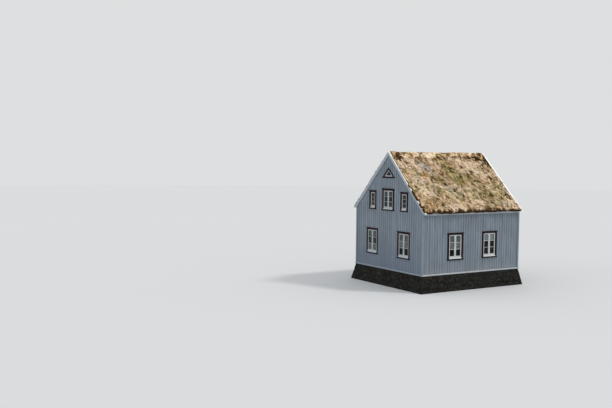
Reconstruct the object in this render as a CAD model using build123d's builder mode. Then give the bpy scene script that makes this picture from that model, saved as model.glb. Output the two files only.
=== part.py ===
"""A turf-roofed timber house: a boarded frame on a battered stone plinth.

The front gable faces -Y, the ridge runs along Y, and Z is up. The origin is the
middle of the footprint's bounding box, on the ground. Millimetres.
"""

import math
import os
from collections import namedtuple

from build123d import *

os.makedirs("parts", exist_ok=True)

# Walls, measured over the faces of the wall boards
HOUSE_WIDTH = 5580
HOUSE_LENGTH = 6440
WALL_THICKNESS = 150
WALL_BOARD = 25
WALL_PLATE_DEPTH = 130

# Stone plinth
PLINTH_HEIGHT = 830
PLINTH_THICKNESS = 450
PLINTH_BATTER = 180

# Floors, on joists below and beams above; a storey is up to the tops of the beams
JOIST_DEPTH = 100
JOIST_WIDTH = 80
FLOOR_BOARD = 30
STOREY_HEIGHT = 2470
BEAM_DEPTH = 130
BEAM_WIDTH = 90
BEAM_SEAT = 60
POCKET_CLEARANCE = 5

# Frame lines along the house: one joist, beam and rafter couple on each
FRAME_COUNT = 8
FRAME_END_DISTANCE = 165

# Roof: the knee is from the tops of the attic beams up to the roof boards at the
# wall's face, and rises are square to the slope from the underside of those boards
ROOF_PITCH = 45
KNEE_HEIGHT = 655
ROOF_BOARD = 22
EAVES_REACH = 70
RAFTER_DEPTH = 125
RAFTER_WIDTH = 80
RAFTER_HEEL = 100
COLLAR_HEADROOM = 1860
COLLAR_DEPTH = 100
COLLAR_THICKNESS = 40

# Bargeboards and the caps that cover them
BARGE_THICKNESS = 28
BARGE_BELOW_BOARDS = 45
BARGE_ABOVE_BOARDS = 75
BARGE_END_DROP = 95
CAP_THICKNESS = 25
CAP_WIDTH = 110
CAP_OVERHANG = 17

# Turf: rises of its top, the crest above the eaves and the nose that rolls over them
TURF_RISE_AT_RIDGE = 90
TURF_RISE_AT_MIDDLE = 135
TURF_RISE_AT_EAVES = 185
TURF_CREST_REACH = 110
TURF_NOSE_REACH = 245
TURF_NOSE_DROP = 24
TURF_CLEARANCE = 2
RIDGE_TURF_REACH = 320
RIDGE_TURF_THICKNESS = 80
RIDGE_TURF_CROWN = 180
RIDGE_TURF_EDGE = 45

# Boards planted on the walls
TRIM_THICKNESS = 25
CORNER_BOARD_WIDTH = 100
EAVES_BOARD_THICKNESS = 30
EAVES_BOARD_HEIGHT = 175
DRIP_BOARD_HEIGHT = 70
DRIP_BOARD_DEPTH = 40

# Windows, measured over their casings: the lower ones from the wall's foot, the upper
# ones from the attic beams, the triangle from the ridge, their centres from the corners
CASING_WIDTH = 105
CASING_LAP = 10
CASING_HEAD_HEIGHT = 35
CASING_HEAD_DEPTH = 55
CASING_SILL_HEIGHT = 35
CASING_SILL_DEPTH = 60
CASING_EAR = 20
SASH_DEPTH = 60
SASH_STILE = 60
SASH_BOTTOM_RAIL = 95
SASH_MULLION = 100
TRIANGLE_CASING = 80
TRIANGLE_STILE = 60
GLASS_THICKNESS = 6
GLASS_SET_BACK = 27

LOWER_WINDOW_WIDTH = 1020
LOWER_WINDOW_HEIGHT = 1356
LOWER_WINDOW_FOOT = 698
GABLE_WINDOW_TO_CORNER = 1468
SIDE_WINDOW_TO_CORNER = 2074
UPPER_WINDOW_WIDTH = 986
UPPER_WINDOW_HEIGHT = 1127
UPPER_WINDOW_SILL = 567
SMALL_WINDOW_WIDTH = 603
SMALL_WINDOW_HEIGHT = 982
SMALL_WINDOW_SILL = 582
SMALL_WINDOW_TO_CORNER = 1475
TRIANGLE_WIDTH = 1096
TRIANGLE_BELOW_RIDGE = 1215

# Door, in the back gable, its head in line with those of the lower windows
DOOR_WIDTH = 1040
DOOR_JAMB = 25
DOOR_FRAME_DEPTH = 110
DOOR_LEAF_THICKNESS = 50
DOOR_CLEARANCE = 3
DOOR_STOP = 18
DOOR_LEAF_SET_BACK = 20

# Stone steps to the door
STEP_COUNT = 3
STEP_TREAD = 260
STEPS_WIDTH = 1300

HALF_WIDTH = HOUSE_WIDTH / 2
HALF_LENGTH = HOUSE_LENGTH / 2
INNER_HALF_WIDTH = HALF_WIDTH - WALL_THICKNESS
INNER_HALF_LENGTH = HALF_LENGTH - WALL_THICKNESS
BEHIND_BOARDS = HALF_WIDTH - WALL_BOARD
FLOOR_LEVEL = JOIST_DEPTH + FLOOR_BOARD
FRAME_SPACING = 2 * (INNER_HALF_LENGTH - FRAME_END_DISTANCE) / (FRAME_COUNT - 1)
ROOF_END = HALF_LENGTH + TRIM_THICKNESS
CAP_INNER_END = ROOF_END + BARGE_THICKNESS + CAP_OVERHANG - CAP_WIDTH
SLOPE = math.tan(math.radians(ROOF_PITCH))
SQUARE_TO_UPRIGHT = 1 / math.cos(math.radians(ROOF_PITCH))

# Heights from the wall's foot, all hung on the storey, the knee and the pitch
EAVES_HEIGHT = STOREY_HEIGHT + KNEE_HEIGHT
RIDGE_HEIGHT = EAVES_HEIGHT + SLOPE * HALF_WIDTH
PLATE_TOP = EAVES_HEIGHT - RAFTER_HEEL
SIDE_WALL_HEIGHT = PLATE_TOP - WALL_PLATE_DEPTH
COLLAR_FOOT = STOREY_HEIGHT + FLOOR_BOARD + COLLAR_HEADROOM
BARGE_END = EAVES_HEIGHT - BARGE_END_DROP
EAVES_BOARD_FOOT = EAVES_HEIGHT - EAVES_BOARD_HEIGHT
UPPER_WINDOW_FOOT = STOREY_HEIGHT + UPPER_WINDOW_SILL
SMALL_WINDOW_FOOT = STOREY_HEIGHT + SMALL_WINDOW_SILL
TRIANGLE_FOOT = RIDGE_HEIGHT - TRIANGLE_BELOW_RIDGE
DOOR_HEAD = LOWER_WINDOW_FOOT + LOWER_WINDOW_HEIGHT

STEP_RISE = (PLINTH_HEIGHT + FLOOR_LEVEL) / (STEP_COUNT + 1)
TOP_STEP = STEP_COUNT * STEP_RISE


def plinth_reach(height):
    """How far the battered face stands out from the wall boards, at a height above ground."""
    return PLINTH_BATTER * (1 - height / PLINTH_HEIGHT)


STEPS_END = HALF_LENGTH + plinth_reach(TOP_STEP) + STEP_COUNT * STEP_TREAD
# The footprint reaches further at the back, where the steps are
CENTRE_Y = (HALF_LENGTH + PLINTH_BATTER - STEPS_END) / 2

Window = namedtuple("Window", "centre foot width height paired")


def lower_window(centre):
    return Window(centre, LOWER_WINDOW_FOOT, LOWER_WINDOW_WIDTH, LOWER_WINDOW_HEIGHT, True)


def small_window(centre):
    return Window(centre, SMALL_WINDOW_FOOT, SMALL_WINDOW_WIDTH, SMALL_WINDOW_HEIGHT, False)


def upper_window(centre):
    return Window(centre, UPPER_WINDOW_FOOT, UPPER_WINDOW_WIDTH, UPPER_WINDOW_HEIGHT, True)


def pair(window, from_middle):
    """Two like windows, each side of a wall's middle."""
    return [window(-from_middle), window(from_middle)]


GABLE_LOWER_WINDOWS = pair(lower_window, HALF_WIDTH - GABLE_WINDOW_TO_CORNER)
GABLE_UPPER_WINDOWS = pair(small_window, HALF_WIDTH - SMALL_WINDOW_TO_CORNER) + [upper_window(0)]
GABLE_WINDOWS = GABLE_LOWER_WINDOWS + GABLE_UPPER_WINDOWS
SIDE_WINDOWS = pair(lower_window, HALF_LENGTH - SIDE_WINDOW_TO_CORNER)


def level(height):
    """A plane facing up, at a height above the wall's foot, centred in the house."""
    return Plane((0, CENTRE_Y, PLINTH_HEIGHT + height))


def across(distance):
    """A plane across the house facing the front, its x to the right and y up from the wall's foot."""
    origin = (0, CENTRE_Y + distance, PLINTH_HEIGHT)
    return Plane(origin, x_dir=(1, 0, 0), z_dir=(0, -1, 0))


def along(distance):
    """A plane along the house facing right, its x to the back and y up from the wall's foot."""
    origin = (distance, CENTRE_Y, PLINTH_HEIGHT)
    return Plane(origin, x_dir=(0, 1, 0), z_dir=(1, 0, 0))


def gable_face(end):
    """The face of the wall boards at the front (-1) or the back (1), facing outwards."""
    origin = (0, CENTRE_Y + end * HALF_LENGTH, PLINTH_HEIGHT)
    return Plane(origin, x_dir=(-end, 0, 0), z_dir=(0, end, 0))


def side_face(side):
    """The face of the wall boards on the left (-1) or the right (1), facing outwards."""
    origin = (side * HALF_WIDTH, CENTRE_Y, PLINTH_HEIGHT)
    return Plane(origin, x_dir=(0, side, 0), z_dir=(side, 0, 0))


def roof_height(distance, rise=0):
    """Height of the roof at a distance from the ridge, raised square to the slope."""
    return RIDGE_HEIGHT - SLOPE * distance + rise * SQUARE_TO_UPRIGHT


def roof_distance(height, rise=0):
    """Distance from the ridge where the raised roof plane comes down to a height."""
    return (RIDGE_HEIGHT + rise * SQUARE_TO_UPRIGHT - height) / SLOPE


def finish(builder, name):
    """Labels a finished piece and writes its file."""
    builder.part.label = name
    export_step(builder.part, f"parts/{name}.step")


def frame_lines():
    """Places of the frame lines along the house, from front to back."""
    first = FRAME_END_DISTANCE - INNER_HALF_LENGTH
    return [first + n * FRAME_SPACING for n in range(FRAME_COUNT)]


def outline(points, mode=Mode.ADD):
    """A face through corner points, in the current sketch."""
    Polygon(*points, align=None, mode=mode)


# Plinth: one battered ring of masonry, in four walls that meet on the mitre
def make_plinth():
    top = (HOUSE_WIDTH, HOUSE_LENGTH)
    foot = (HOUSE_WIDTH + 2 * PLINTH_BATTER, HOUSE_LENGTH + 2 * PLINTH_BATTER)
    inside = (HOUSE_WIDTH - 2 * PLINTH_THICKNESS, HOUSE_LENGTH - 2 * PLINTH_THICKNESS)
    with BuildPart() as ring:
        with BuildSketch(level(-PLINTH_HEIGHT)):
            Rectangle(*foot)
        with BuildSketch(level(0)):
            Rectangle(*top)
        loft()
        with BuildSketch(level(0)):
            Rectangle(*inside)
        extrude(amount=-PLINTH_HEIGHT, mode=Mode.SUBTRACT)

    def mitre(side, end):
        """The upright plane through a corner, facing the end wall that meets there."""
        corner = (side * HALF_WIDTH, CENTRE_Y + end * HALF_LENGTH, 0)
        return Plane(corner, x_dir=(0, 0, 1), z_dir=(-side, end, 0))

    for name, end in (("plinth_front", -1), ("plinth_back", 1)):
        with BuildPart() as wall:
            add(ring.part)
            for side in (-1, 1):
                split(bisect_by=mitre(side, end), keep=Keep.TOP)
        finish(wall, name)
    for name, side in (("plinth_left", -1), ("plinth_right", 1)):
        with BuildPart() as wall:
            add(ring.part)
            for end in (-1, 1):
                split(bisect_by=mitre(side, end), keep=Keep.BOTTOM)
        finish(wall, name)


# Floors
def make_floors():
    with BuildPart() as joists:
        with BuildSketch(level(0)):
            with Locations(*[(0, y) for y in frame_lines()]):
                Rectangle(2 * INNER_HALF_WIDTH, JOIST_WIDTH)
        extrude(amount=JOIST_DEPTH)
    finish(joists, "ground_joists")

    with BuildPart() as ground_floor:
        with BuildSketch(level(JOIST_DEPTH)):
            Rectangle(2 * INNER_HALF_WIDTH, 2 * INNER_HALF_LENGTH)
        extrude(amount=FLOOR_BOARD)
    finish(ground_floor, "ground_floor")

    with BuildPart() as beams:
        with BuildSketch(level(STOREY_HEIGHT - BEAM_DEPTH)):
            with Locations(*[(0, y) for y in frame_lines()]):
                Rectangle(2 * (INNER_HALF_WIDTH + BEAM_SEAT), BEAM_WIDTH)
        extrude(amount=BEAM_DEPTH)
    finish(beams, "attic_beams")

    with BuildPart() as attic_floor:
        with BuildSketch(level(STOREY_HEIGHT)):
            Rectangle(2 * INNER_HALF_WIDTH, 2 * INNER_HALF_LENGTH)
        extrude(amount=FLOOR_BOARD)
    finish(attic_floor, "attic_floor")


def window_outlines(windows, inset, mode=Mode.ADD):
    """The windows' outlines over their casings, brought in on all sides."""
    for window in windows:
        with Locations((window.centre, window.foot + window.height / 2)):
            Rectangle(window.width - 2 * inset, window.height - 2 * inset, mode=mode)


def triangle(inset, mode=Mode.ADD):
    """The top window's outline over its casing, brought in square to its three sides."""
    half = math.radians(ROOF_PITCH) / 2
    reach = TRIANGLE_WIDTH / 2 - inset / math.tan(half)
    foot = TRIANGLE_FOOT + inset
    outline([(-reach, foot), (reach, foot), (0, foot + reach * SLOPE)], mode)


HOLE_INSET = CASING_WIDTH - CASING_LAP
TRIANGLE_HOLE_INSET = TRIANGLE_CASING - CASING_LAP


# Walls: slabs with their windows and the door cut through
def make_gable_wall(end, wall_name, gable_name):
    face = gable_face(end)
    with BuildPart() as wall:
        with BuildSketch(face):
            with Locations((0, STOREY_HEIGHT / 2)):
                Rectangle(HOUSE_WIDTH, STOREY_HEIGHT)
            window_outlines(GABLE_LOWER_WINDOWS, HOLE_INSET, Mode.SUBTRACT)
            if end == 1:
                door_outline(0, Mode.SUBTRACT)
        extrude(amount=-WALL_THICKNESS)
    finish(wall, wall_name)

    corner = roof_height(HALF_WIDTH)
    with BuildPart() as gable:
        with BuildSketch(face):
            outline([
                (-HALF_WIDTH, STOREY_HEIGHT),
                (HALF_WIDTH, STOREY_HEIGHT),
                (HALF_WIDTH, corner),
                (0, RIDGE_HEIGHT),
                (-HALF_WIDTH, corner),
            ])
            window_outlines(GABLE_UPPER_WINDOWS, HOLE_INSET, Mode.SUBTRACT)
            triangle(TRIANGLE_HOLE_INSET, Mode.SUBTRACT)
        extrude(amount=-WALL_THICKNESS)
    finish(gable, gable_name)


def make_side_wall(side, name):
    with BuildPart() as wall:
        with BuildSketch(side_face(side)):
            with Locations((0, SIDE_WALL_HEIGHT / 2)):
                Rectangle(2 * INNER_HALF_LENGTH, SIDE_WALL_HEIGHT)
            window_outlines(SIDE_WINDOWS, HOLE_INSET, Mode.SUBTRACT)
        extrude(amount=-WALL_THICKNESS)
        # Pockets that carry the ends of the attic beams
        with BuildSketch(side_face(side).offset(-WALL_THICKNESS)):
            middle = STOREY_HEIGHT - BEAM_DEPTH / 2 + POCKET_CLEARANCE / 2
            with Locations(*[(side * y, middle) for y in frame_lines()]):
                Rectangle(BEAM_WIDTH + 2 * POCKET_CLEARANCE, BEAM_DEPTH + POCKET_CLEARANCE)
        extrude(amount=BEAM_SEAT + POCKET_CLEARANCE, mode=Mode.SUBTRACT)
        # The wall boards run up past the plate and the rafter heels to the roof boards
        with BuildSketch(across(0)):
            outline([
                (side * HALF_WIDTH, SIDE_WALL_HEIGHT),
                (side * HALF_WIDTH, roof_height(HALF_WIDTH)),
                (side * BEHIND_BOARDS, roof_height(BEHIND_BOARDS)),
                (side * BEHIND_BOARDS, SIDE_WALL_HEIGHT),
            ])
        extrude(amount=INNER_HALF_LENGTH, both=True)
    finish(wall, name)


def make_wall_plates():
    with BuildPart() as plates:
        with BuildSketch(level(SIDE_WALL_HEIGHT)):
            centre = (INNER_HALF_WIDTH + BEHIND_BOARDS) / 2
            with Locations((-centre, 0), (centre, 0)):
                Rectangle(BEHIND_BOARDS - INNER_HALF_WIDTH, 2 * INNER_HALF_LENGTH)
        extrude(amount=WALL_PLATE_DEPTH)
    finish(plates, "wall_plates")


# Rafters: plumb cut at the ridge, with a level seat on the wall plate
def make_rafters(side, name):
    with BuildPart() as rafters:
        for y in frame_lines():
            with BuildSketch(across(y)):
                outline([
                    (0, RIDGE_HEIGHT),
                    (side * BEHIND_BOARDS, roof_height(BEHIND_BOARDS)),
                    (side * BEHIND_BOARDS, PLATE_TOP),
                    (side * roof_distance(PLATE_TOP, -RAFTER_DEPTH), PLATE_TOP),
                    (0, roof_height(0, -RAFTER_DEPTH)),
                ])
            extrude(amount=RAFTER_WIDTH / 2, both=True)
    finish(rafters, name)


# Collar beams: planted on the sides of the rafter couples, cut to the slope
def make_collars():
    top = COLLAR_FOOT + COLLAR_DEPTH
    lower = roof_distance(COLLAR_FOOT)
    upper = roof_distance(top)
    with BuildPart() as collars:
        for y in frame_lines():
            towards_middle = -1 if y > 0 else 1
            beside = y + towards_middle * (RAFTER_WIDTH + COLLAR_THICKNESS) / 2
            with BuildSketch(across(beside)):
                outline([
                    (-lower, COLLAR_FOOT),
                    (lower, COLLAR_FOOT),
                    (upper, top),
                    (-upper, top),
                ])
            extrude(amount=COLLAR_THICKNESS / 2, both=True)
    finish(collars, "collar_beams")


# Roof boards: one deck a slope, with plumb cuts at the ridge and the eaves
def make_roof_boards(side, name):
    end = HALF_WIDTH + EAVES_REACH
    with BuildPart() as boards:
        with BuildSketch(across(0)):
            outline([
                (0, RIDGE_HEIGHT),
                (side * end, roof_height(end)),
                (side * end, roof_height(end, ROOF_BOARD)),
                (0, roof_height(0, ROOF_BOARD)),
            ])
        extrude(amount=ROOF_END, both=True)
    finish(boards, name)


# Turf: a bed that thickens down the slope, rolls over the eaves in a nose and
# runs in under the caps of the bargeboards
def make_turf(side, name):
    board_end = HALF_WIDTH + EAVES_REACH
    nose = HALF_WIDTH + TURF_NOSE_REACH
    nose_foot = roof_height(board_end, ROOF_BOARD) - TURF_NOSE_DROP
    crest = HALF_WIDTH + TURF_CREST_REACH
    middle = (RIDGE_TURF_REACH + crest) / 2
    crest_height = roof_height(crest, TURF_RISE_AT_EAVES)
    # The bed is flat as far as the ridge turf lies on it
    straight_end = RIDGE_TURF_REACH + RIDGE_TURF_THICKNESS
    belly = (crest_height + nose_foot) / 2

    def place(distance, height):
        return (side * distance, height)

    with BuildPart() as turf:
        with BuildSketch(across(0)):
            with BuildLine():
                top = Line(
                    place(0, roof_height(0, TURF_RISE_AT_RIDGE)),
                    place(straight_end, roof_height(straight_end, TURF_RISE_AT_RIDGE)),
                )
                bed = Spline(
                    top @ 1,
                    place(middle, roof_height(middle, TURF_RISE_AT_MIDDLE)),
                    place(crest, crest_height),
                    tangents=(top % 1, Vector(side, -SLOPE).normalized()),
                )
                roll = ThreePointArc(
                    bed @ 1,
                    place(nose, belly),
                    place(crest + TURF_CLEARANCE, nose_foot),
                )
                Polyline(
                    roll @ 1,
                    place(board_end, nose_foot),
                    place(board_end, roof_height(board_end, ROOF_BOARD)),
                    place(0, roof_height(0, ROOF_BOARD)),
                    top @ 0,
                )
            make_face()
        extrude(amount=ROOF_END, both=True)
        # The ends step down to slide in under the caps
        beyond = nose + TURF_NOSE_REACH
        above = roof_height(0, TURF_RISE_AT_EAVES)
        for end in (-1, 1):
            with BuildSketch(across(end * (CAP_INNER_END - TURF_CLEARANCE))):
                outline([
                    place(0, roof_height(0, BARGE_ABOVE_BOARDS)),
                    place(beyond, roof_height(beyond, BARGE_ABOVE_BOARDS)),
                    place(beyond, above),
                    place(0, above),
                ])
            extrude(amount=-end * CAP_WIDTH, mode=Mode.SUBTRACT)
    finish(turf, name)


# Ridge turf: a saddle laid over both beds, with a rounded crown and edges
def make_ridge_turf():
    outer = RIDGE_TURF_REACH + RIDGE_TURF_THICKNESS / SQUARE_TO_UPRIGHT * SLOPE
    outer_rise = TURF_RISE_AT_RIDGE + RIDGE_TURF_THICKNESS
    with BuildPart() as ridge_turf:
        with BuildSketch(across(0)):
            outline([
                (0, roof_height(0, TURF_RISE_AT_RIDGE)),
                (RIDGE_TURF_REACH, roof_height(RIDGE_TURF_REACH, TURF_RISE_AT_RIDGE)),
                (outer, roof_height(outer, outer_rise)),
                (0, roof_height(0, outer_rise)),
                (-outer, roof_height(outer, outer_rise)),
                (-RIDGE_TURF_REACH, roof_height(RIDGE_TURF_REACH, TURF_RISE_AT_RIDGE)),
            ])
        extrude(amount=CAP_INNER_END - TURF_CLEARANCE, both=True)
        lengthways = ridge_turf.edges().filter_by(Axis.Y)
        fillet(lengthways.sort_by(Axis.Z)[-1], radius=RIDGE_TURF_CROWN)
        lengthways = ridge_turf.edges().filter_by(Axis.Y)
        fillet(lengthways.group_by(Axis.X)[0], radius=RIDGE_TURF_EDGE)
        lengthways = ridge_turf.edges().filter_by(Axis.Y)
        fillet(lengthways.group_by(Axis.X)[-1], radius=RIDGE_TURF_EDGE)
    finish(ridge_turf, "ridge_turf")


# Bargeboards and caps: both follow the slope, with level cuts at the eaves
def make_gable_edge(side, name, low, high, inner, outer):
    with BuildPart() as edge:
        for end in (-1, 1):
            with BuildSketch(across(end * inner)):
                outline([
                    (0, roof_height(0, low)),
                    (side * roof_distance(BARGE_END, low), BARGE_END),
                    (side * roof_distance(BARGE_END, high), BARGE_END),
                    (0, roof_height(0, high)),
                ])
            extrude(amount=-end * (outer - inner))
    finish(edge, name)


def make_gable_edges():
    cap_top = BARGE_ABOVE_BOARDS + CAP_THICKNESS
    board_outer = ROOF_END + BARGE_THICKNESS
    for word, side in (("left", -1), ("right", 1)):
        board_rises = (-BARGE_BELOW_BOARDS, BARGE_ABOVE_BOARDS)
        make_gable_edge(side, f"{word}_bargeboards", *board_rises, ROOF_END, board_outer)
        cap_rises = (BARGE_ABOVE_BOARDS, cap_top)
        cap_outer = board_outer + CAP_OVERHANG
        make_gable_edge(side, f"{word}_barge_caps", *cap_rises, CAP_INNER_END, cap_outer)


# Eaves boards: under the roof boards, their top edges bevelled to the slope
def make_eaves_boards():
    outer = HALF_WIDTH + EAVES_BOARD_THICKNESS
    with BuildPart() as eaves:
        for side in (-1, 1):
            with BuildSketch(across(0)):
                outline([
                    (side * HALF_WIDTH, EAVES_BOARD_FOOT),
                    (side * outer, EAVES_BOARD_FOOT),
                    (side * outer, roof_height(outer)),
                    (side * HALF_WIDTH, roof_height(HALF_WIDTH)),
                ])
            extrude(amount=HALF_LENGTH, both=True)
    finish(eaves, "eaves_boards")


# Corner boards: an angle at each corner, the gable leg running up to the roof
def make_corner_boards():
    with BuildPart() as corners:
        for side in (-1, 1):
            for end in (-1, 1):
                x = side * HALF_WIDTH
                y = end * HALF_LENGTH
                out_x = x + side * TRIM_THICKNESS
                out_y = y + end * TRIM_THICKNESS
                in_x = out_x - side * CORNER_BOARD_WIDTH
                in_y = out_y - end * CORNER_BOARD_WIDTH
                with BuildSketch(level(DRIP_BOARD_HEIGHT)):
                    outline([(x, y), (x, in_y), (out_x, in_y), (out_x, out_y), (in_x, out_y), (in_x, y)])
                extrude(amount=EAVES_BOARD_FOOT - DRIP_BOARD_HEIGHT)
                with BuildSketch(across(y)):
                    outline([
                        (in_x, EAVES_BOARD_FOOT),
                        (out_x, EAVES_BOARD_FOOT),
                        (out_x, roof_height(abs(out_x))),
                        (in_x, roof_height(abs(in_x))),
                    ])
                extrude(amount=-end * TRIM_THICKNESS)
    finish(corners, "corner_boards")


# Drip boards: around the walls' foot, with sloping tops
def drip_profile(side, start):
    outline([
        (side * start, 0),
        (side * (start + DRIP_BOARD_DEPTH), 0),
        (side * (start + DRIP_BOARD_DEPTH), DRIP_BOARD_HEIGHT / 2),
        (side * (start + TRIM_THICKNESS), DRIP_BOARD_HEIGHT),
        (side * start, DRIP_BOARD_HEIGHT),
    ])


def make_drip_boards():
    with BuildPart() as gable_boards:
        for end in (-1, 1):
            with BuildSketch(along(0)):
                drip_profile(end, HALF_LENGTH)
            extrude(amount=HALF_WIDTH + DRIP_BOARD_DEPTH, both=True)
    finish(gable_boards, "gable_drip_boards")

    with BuildPart() as side_boards:
        for side in (-1, 1):
            with BuildSketch(across(0)):
                drip_profile(side, HALF_WIDTH)
            extrude(amount=HALF_LENGTH, both=True)
    finish(side_boards, "side_drip_boards")


# Sashes: stiles and rails that fill the hole in the wall, with one or two lights
def sash_lights(window):
    """The glazed areas of a window: (centre, foot, width, height) of each."""
    inner_width = window.width - 2 * HOLE_INSET - 2 * SASH_STILE
    foot = window.foot + HOLE_INSET + SASH_BOTTOM_RAIL
    height = window.foot + window.height - HOLE_INSET - SASH_STILE - foot
    if not window.paired:
        return [(window.centre, foot, inner_width, height)]
    width = (inner_width - SASH_MULLION) / 2
    offset = (width + SASH_MULLION) / 2
    return [(window.centre + s * offset, foot, width, height) for s in (-1, 1)]


def light_outlines(windows, mode=Mode.ADD):
    """The glazed areas of the windows, in the current sketch."""
    for window in windows:
        for centre, foot, width, height in sash_lights(window):
            with Locations((centre, foot + height / 2)):
                Rectangle(width, height, mode=mode)


def head_boards(windows):
    """Boards over the windows that stand past the casing by an ear at each end."""
    for window in windows:
        with Locations((window.centre, window.foot + window.height - CASING_HEAD_HEIGHT / 2)):
            Rectangle(window.width + 2 * CASING_EAR, CASING_HEAD_HEIGHT)


def sills(windows):
    """Boards under the windows, with the same ears."""
    for window in windows:
        with Locations((window.centre, window.foot + CASING_SILL_HEIGHT / 2)):
            Rectangle(window.width + 2 * CASING_EAR, CASING_SILL_HEIGHT)


TRIANGLE_LIGHT_INSET = TRIANGLE_HOLE_INSET + TRIANGLE_STILE


def make_casings(name, faces, windows, with_triangle):
    """Casing boards planted on the wall around each hole, with a head board and a sill."""
    with BuildPart() as casings:
        for face in faces:
            with BuildSketch(face):
                window_outlines(windows, 0)
                window_outlines(windows, CASING_WIDTH, Mode.SUBTRACT)
                if with_triangle:
                    triangle(0)
                    triangle(TRIANGLE_CASING, Mode.SUBTRACT)
            extrude(amount=TRIM_THICKNESS)
            with BuildSketch(face):
                head_boards(windows)
            extrude(amount=CASING_HEAD_DEPTH)
            with BuildSketch(face):
                sills(windows)
            extrude(amount=CASING_SILL_DEPTH)
    finish(casings, name)


def make_sashes(name, faces, windows, with_triangle):
    """Sashes that fill the holes in the wall, cut through at their lights."""
    with BuildPart() as sashes:
        for face in faces:
            with BuildSketch(face):
                window_outlines(windows, HOLE_INSET)
                light_outlines(windows, Mode.SUBTRACT)
                if with_triangle:
                    triangle(TRIANGLE_HOLE_INSET)
                    triangle(TRIANGLE_LIGHT_INSET, Mode.SUBTRACT)
            extrude(amount=-SASH_DEPTH)
    finish(sashes, name)


def make_glass(name, faces, windows, with_triangle):
    """One sheet of glass in each light."""
    with BuildPart() as glass:
        for face in faces:
            with BuildSketch(face.offset(-GLASS_SET_BACK)):
                light_outlines(windows)
                if with_triangle:
                    triangle(TRIANGLE_LIGHT_INSET)
            extrude(amount=-GLASS_THICKNESS)
    finish(glass, name)


def make_windows(prefix, faces, windows, with_triangle):
    make_casings(f"{prefix}_casings", faces, windows, with_triangle)
    make_sashes(f"{prefix}_sashes", faces, windows, with_triangle)
    make_glass(f"{prefix}_glass", faces, windows, with_triangle)


# Door: a frame with a rebate, and the leaf that shuts into it
def door_outline(inset, mode=Mode.ADD):
    """The door's hole in the wall, brought in at the jambs and the head."""
    width = DOOR_WIDTH - 2 * HOLE_INSET - 2 * inset
    head = DOOR_HEAD - HOLE_INSET - inset
    with Locations((0, (JOIST_DEPTH + head) / 2)):
        Rectangle(width, head - JOIST_DEPTH, mode=mode)


def make_door():
    face = gable_face(1)
    leaf_back = DOOR_LEAF_SET_BACK + DOOR_LEAF_THICKNESS
    leaf_inset = DOOR_JAMB + DOOR_CLEARANCE
    leaf_foot = FLOOR_LEVEL + DOOR_CLEARANCE
    leaf_head = DOOR_HEAD - HOLE_INSET - leaf_inset
    leaf_width = DOOR_WIDTH - 2 * HOLE_INSET - 2 * leaf_inset
    hole_width = DOOR_WIDTH - 2 * HOLE_INSET

    with BuildPart() as door_frame:
        # Jambs and head in the hole, then the stop that the leaf shuts against
        with BuildSketch(face):
            door_outline(0)
            door_outline(DOOR_JAMB, Mode.SUBTRACT)
        extrude(amount=-DOOR_FRAME_DEPTH)
        with BuildSketch(face.offset(-leaf_back)):
            door_outline(0)
            door_outline(DOOR_JAMB + DOOR_STOP, Mode.SUBTRACT)
        extrude(amount=leaf_back - DOOR_FRAME_DEPTH)
        # Threshold, level with the floor boards
        with BuildSketch(face):
            with Locations((0, (JOIST_DEPTH + FLOOR_LEVEL) / 2)):
                Rectangle(hole_width, FLOOR_BOARD)
        extrude(amount=-WALL_THICKNESS)
        # Casing boards on the wall, with the same head board as the windows
        with BuildSketch(face):
            with Locations((0, (DRIP_BOARD_HEIGHT + DOOR_HEAD) / 2)):
                Rectangle(DOOR_WIDTH, DOOR_HEAD - DRIP_BOARD_HEIGHT)
            with Locations((0, (DRIP_BOARD_HEIGHT + DOOR_HEAD - CASING_WIDTH) / 2)):
                Rectangle(
                    DOOR_WIDTH - 2 * CASING_WIDTH,
                    DOOR_HEAD - CASING_WIDTH - DRIP_BOARD_HEIGHT,
                    mode=Mode.SUBTRACT,
                )
        extrude(amount=TRIM_THICKNESS)
        with BuildSketch(face):
            with Locations((0, DOOR_HEAD - CASING_HEAD_HEIGHT / 2)):
                Rectangle(DOOR_WIDTH + 2 * CASING_EAR, CASING_HEAD_HEIGHT)
        extrude(amount=CASING_HEAD_DEPTH)
    finish(door_frame, "door_frame")

    with BuildPart() as door_leaf:
        with BuildSketch(face.offset(-DOOR_LEAF_SET_BACK)):
            with Locations((0, (leaf_foot + leaf_head) / 2)):
                Rectangle(leaf_width, leaf_head - leaf_foot)
        extrude(amount=-DOOR_LEAF_THICKNESS)
    finish(door_leaf, "door_leaf")


# Steps: one flight of masonry, its back fitted to the plinth's batter
def make_steps():
    points = [(HALF_LENGTH + PLINTH_BATTER, -PLINTH_HEIGHT)]
    front = STEPS_END
    for n in range(1, STEP_COUNT + 1):
        points.append((front, (n - 1) * STEP_RISE - PLINTH_HEIGHT))
        points.append((front, n * STEP_RISE - PLINTH_HEIGHT))
        front -= STEP_TREAD
    points.append((front, TOP_STEP - PLINTH_HEIGHT))
    with BuildPart() as steps:
        with BuildSketch(along(0)):
            outline(points)
        extrude(amount=STEPS_WIDTH / 2, both=True)
    finish(steps, "door_steps")


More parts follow.
